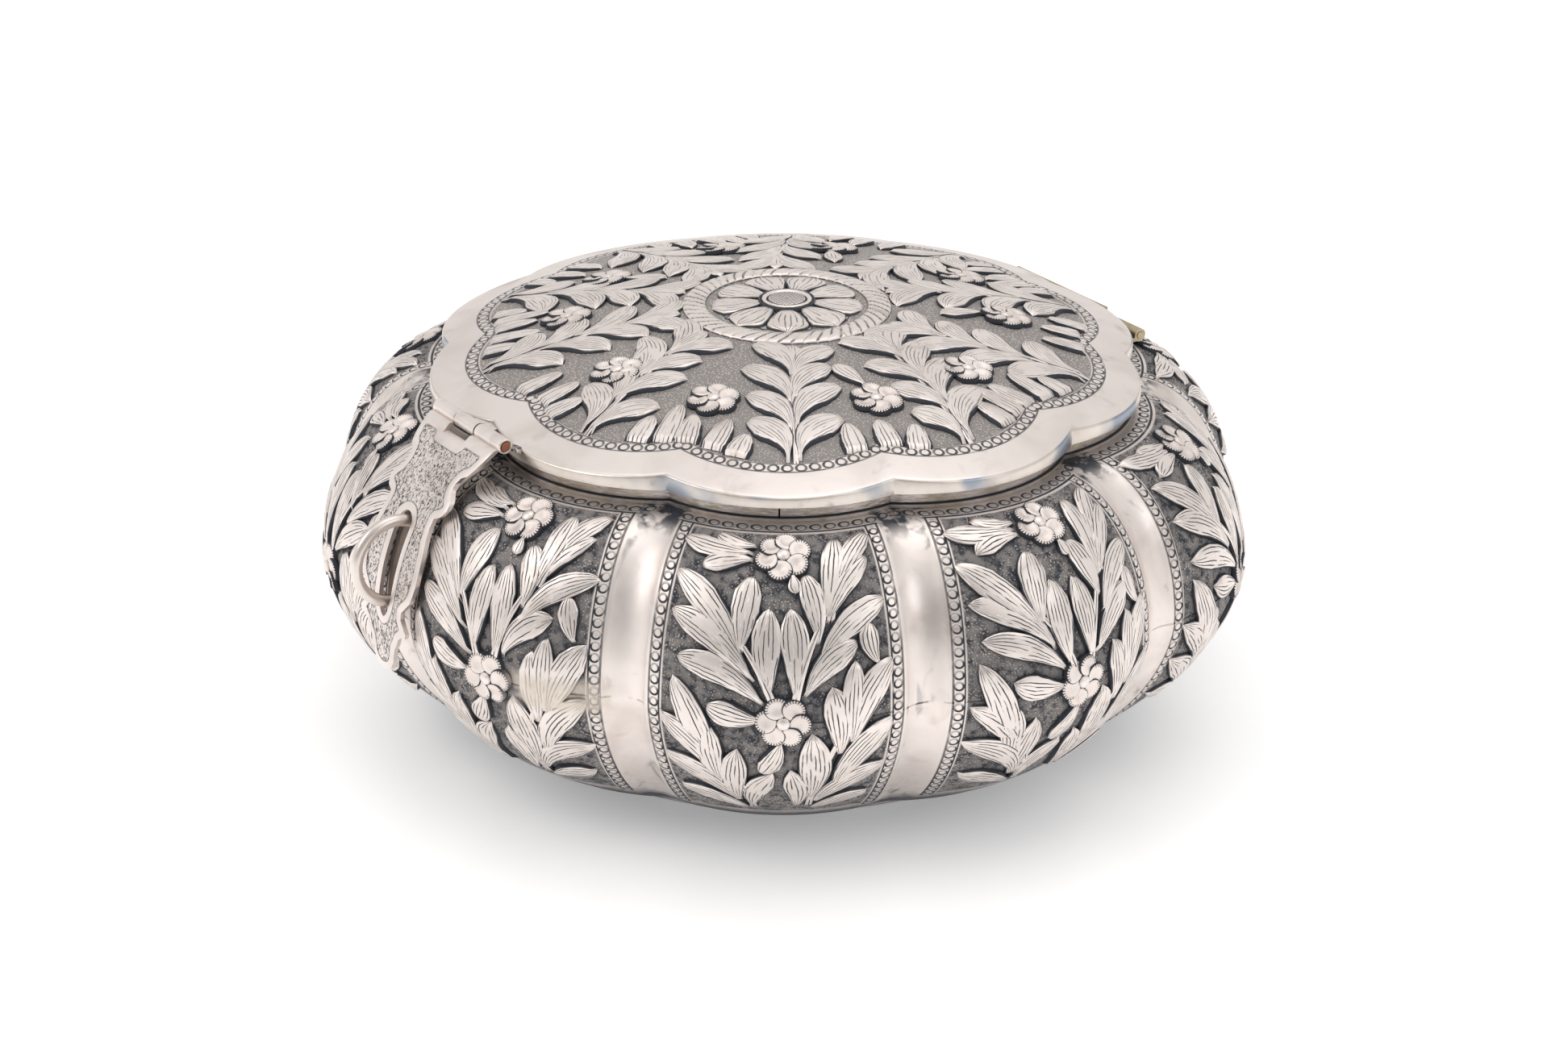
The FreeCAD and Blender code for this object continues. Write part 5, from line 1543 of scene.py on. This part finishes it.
def make_floor():
    """A white table under the box, white to the camera and in reflections."""
    mesh = bpy.data.meshes.new("floor")
    side = FLOOR_HALF
    corners = [(-side, -side, 0), (side, -side, 0), (side, side, 0), (-side, side, 0)]
    mesh.from_pydata(corners, [], [(0, 1, 2, 3)])
    thing = bpy.data.objects.new("floor", mesh)
    bpy.context.scene.collection.objects.link(thing)
    thing.location.z = -0.0002
    finish = Finish("white_table")
    rays = finish.node("ShaderNodeLightPath")
    seen = Value(finish, rays.outputs["Is Camera Ray"])
    seen = seen.most(Value(finish, rays.outputs["Is Glossy Ray"]))
    values = {
        "Base Color": FLOOR_COLOUR, "Roughness": 0.35, "Emission Strength": FLOOR_GLOW,
        "Emission Color": finish.mix(seen, (0, 0, 0), (1, 1, 1)),
    }
    for name, value in values.items():
        finish.fill(finish.surface.inputs[name], value)
    mesh.materials.append(finish.material)


def make_world():
    """White to the camera, and softly uneven for light and reflections."""
    world = bpy.data.worlds.new("studio")
    bpy.context.scene.world = world
    sky = Nodes(world)
    place = sky.node("ShaderNodeTexCoord").outputs["Generated"]
    sides = {0: place, 1: WORLD_DARK_SIDE}
    toward = sky.node("ShaderNodeVectorMath", {"operation": "DOT_PRODUCT"}, sides)
    ramp = sky.node("ShaderNodeValToRGB", {"stops": WORLD_LEVELS}, {0: toward.outputs["Value"]})
    lit = sky.node("ShaderNodeBackground", {}, {"Color": ramp.outputs[0]})
    seen = sky.node("ShaderNodeBackground", {}, {"Color": (1, 1, 1)})
    rays = sky.node("ShaderNodeLightPath")
    choice = {0: rays.outputs["Is Camera Ray"], 1: lit.outputs[0], 2: seen.outputs[0]}
    choose = sky.node("ShaderNodeMixShader", {}, choice)
    sky.node("ShaderNodeOutputWorld", {}, {"Surface": choose.outputs[0]})


def make_camera():
    """The photograph's camera."""
    stage = sizes("box_stage")
    turn = math.radians(stage.camera_azimuth)
    height = math.radians(stage.camera_elevation)
    flat = math.cos(height)
    toward = Vector((math.sin(turn) * flat, -math.cos(turn) * flat, math.sin(height)))
    camera = bpy.data.cameras.new("photo_camera")
    camera.sensor_width = 36
    camera.lens = stage.lens_pixels / stage.photo_width * camera.sensor_width
    camera.shift_x, camera.shift_y = (pixels / stage.photo_width for pixels in FRAME_SHIFT)
    camera.clip_start = 0.05
    camera.clip_end = 20
    thing = bpy.data.objects.new("photo_camera", camera)
    thing.location = Vector(CAMERA_TARGET) + toward * stage.camera_distance
    aim = (-toward).to_track_quat("-Z", "Y").to_matrix()
    roll = Matrix.Rotation(math.radians(CAMERA_ROLL), 3, "Z")
    thing.rotation_euler = (aim @ roll).to_euler()
    bpy.context.scene.collection.objects.link(thing)
    bpy.context.scene.camera = thing


class BOX_PT_panel(bpy.types.Panel):
    """Lists the box's builders"""
    bl_label = "Lidded Box"
    bl_idname = "BOX_PT_panel"
    bl_space_type = "VIEW_3D"
    bl_region_type = "UI"
    bl_category = "Lidded Box"

    def draw(self, context):
        for operator in OPERATORS:
            self.layout.operator(operator.bl_idname)
        for group in GROUPS:
            values = getattr(context.scene, group)
            for name in values.__annotations__:
                self.layout.prop(values, name)


GROUPS = {
    "box_wall": BoxWallSizes,
    "box_lid": BoxLidSizes,
    "box_colours": BoxColours,
    "box_stage": BoxStageSizes,
}
OPERATORS = [BOX_OT_walls, BOX_OT_wall_chasing, BOX_OT_lid, BOX_OT_hasp, BOX_OT_neck, BOX_OT_stage]


def register():
    """Registers the groups, operators and panel."""
    for name, group in GROUPS.items():
        bpy.utils.register_class(group)
        setattr(bpy.types.Scene, name, PointerProperty(type=group))
    for operator in OPERATORS:
        bpy.utils.register_class(operator)
    bpy.utils.register_class(BOX_PT_panel)


def unregister():
    """Takes them away again."""
    bpy.utils.unregister_class(BOX_PT_panel)
    for operator in reversed(OPERATORS):
        bpy.utils.unregister_class(operator)
    for name, group in GROUPS.items():
        delattr(bpy.types.Scene, name)
        bpy.utils.unregister_class(group)


def main():
    """Builds the box's looks."""
    register()
    for operator in OPERATORS:
        getattr(bpy.ops.box, operator.bl_idname.split(".")[1])()


if __name__ == "__main__":
    main()
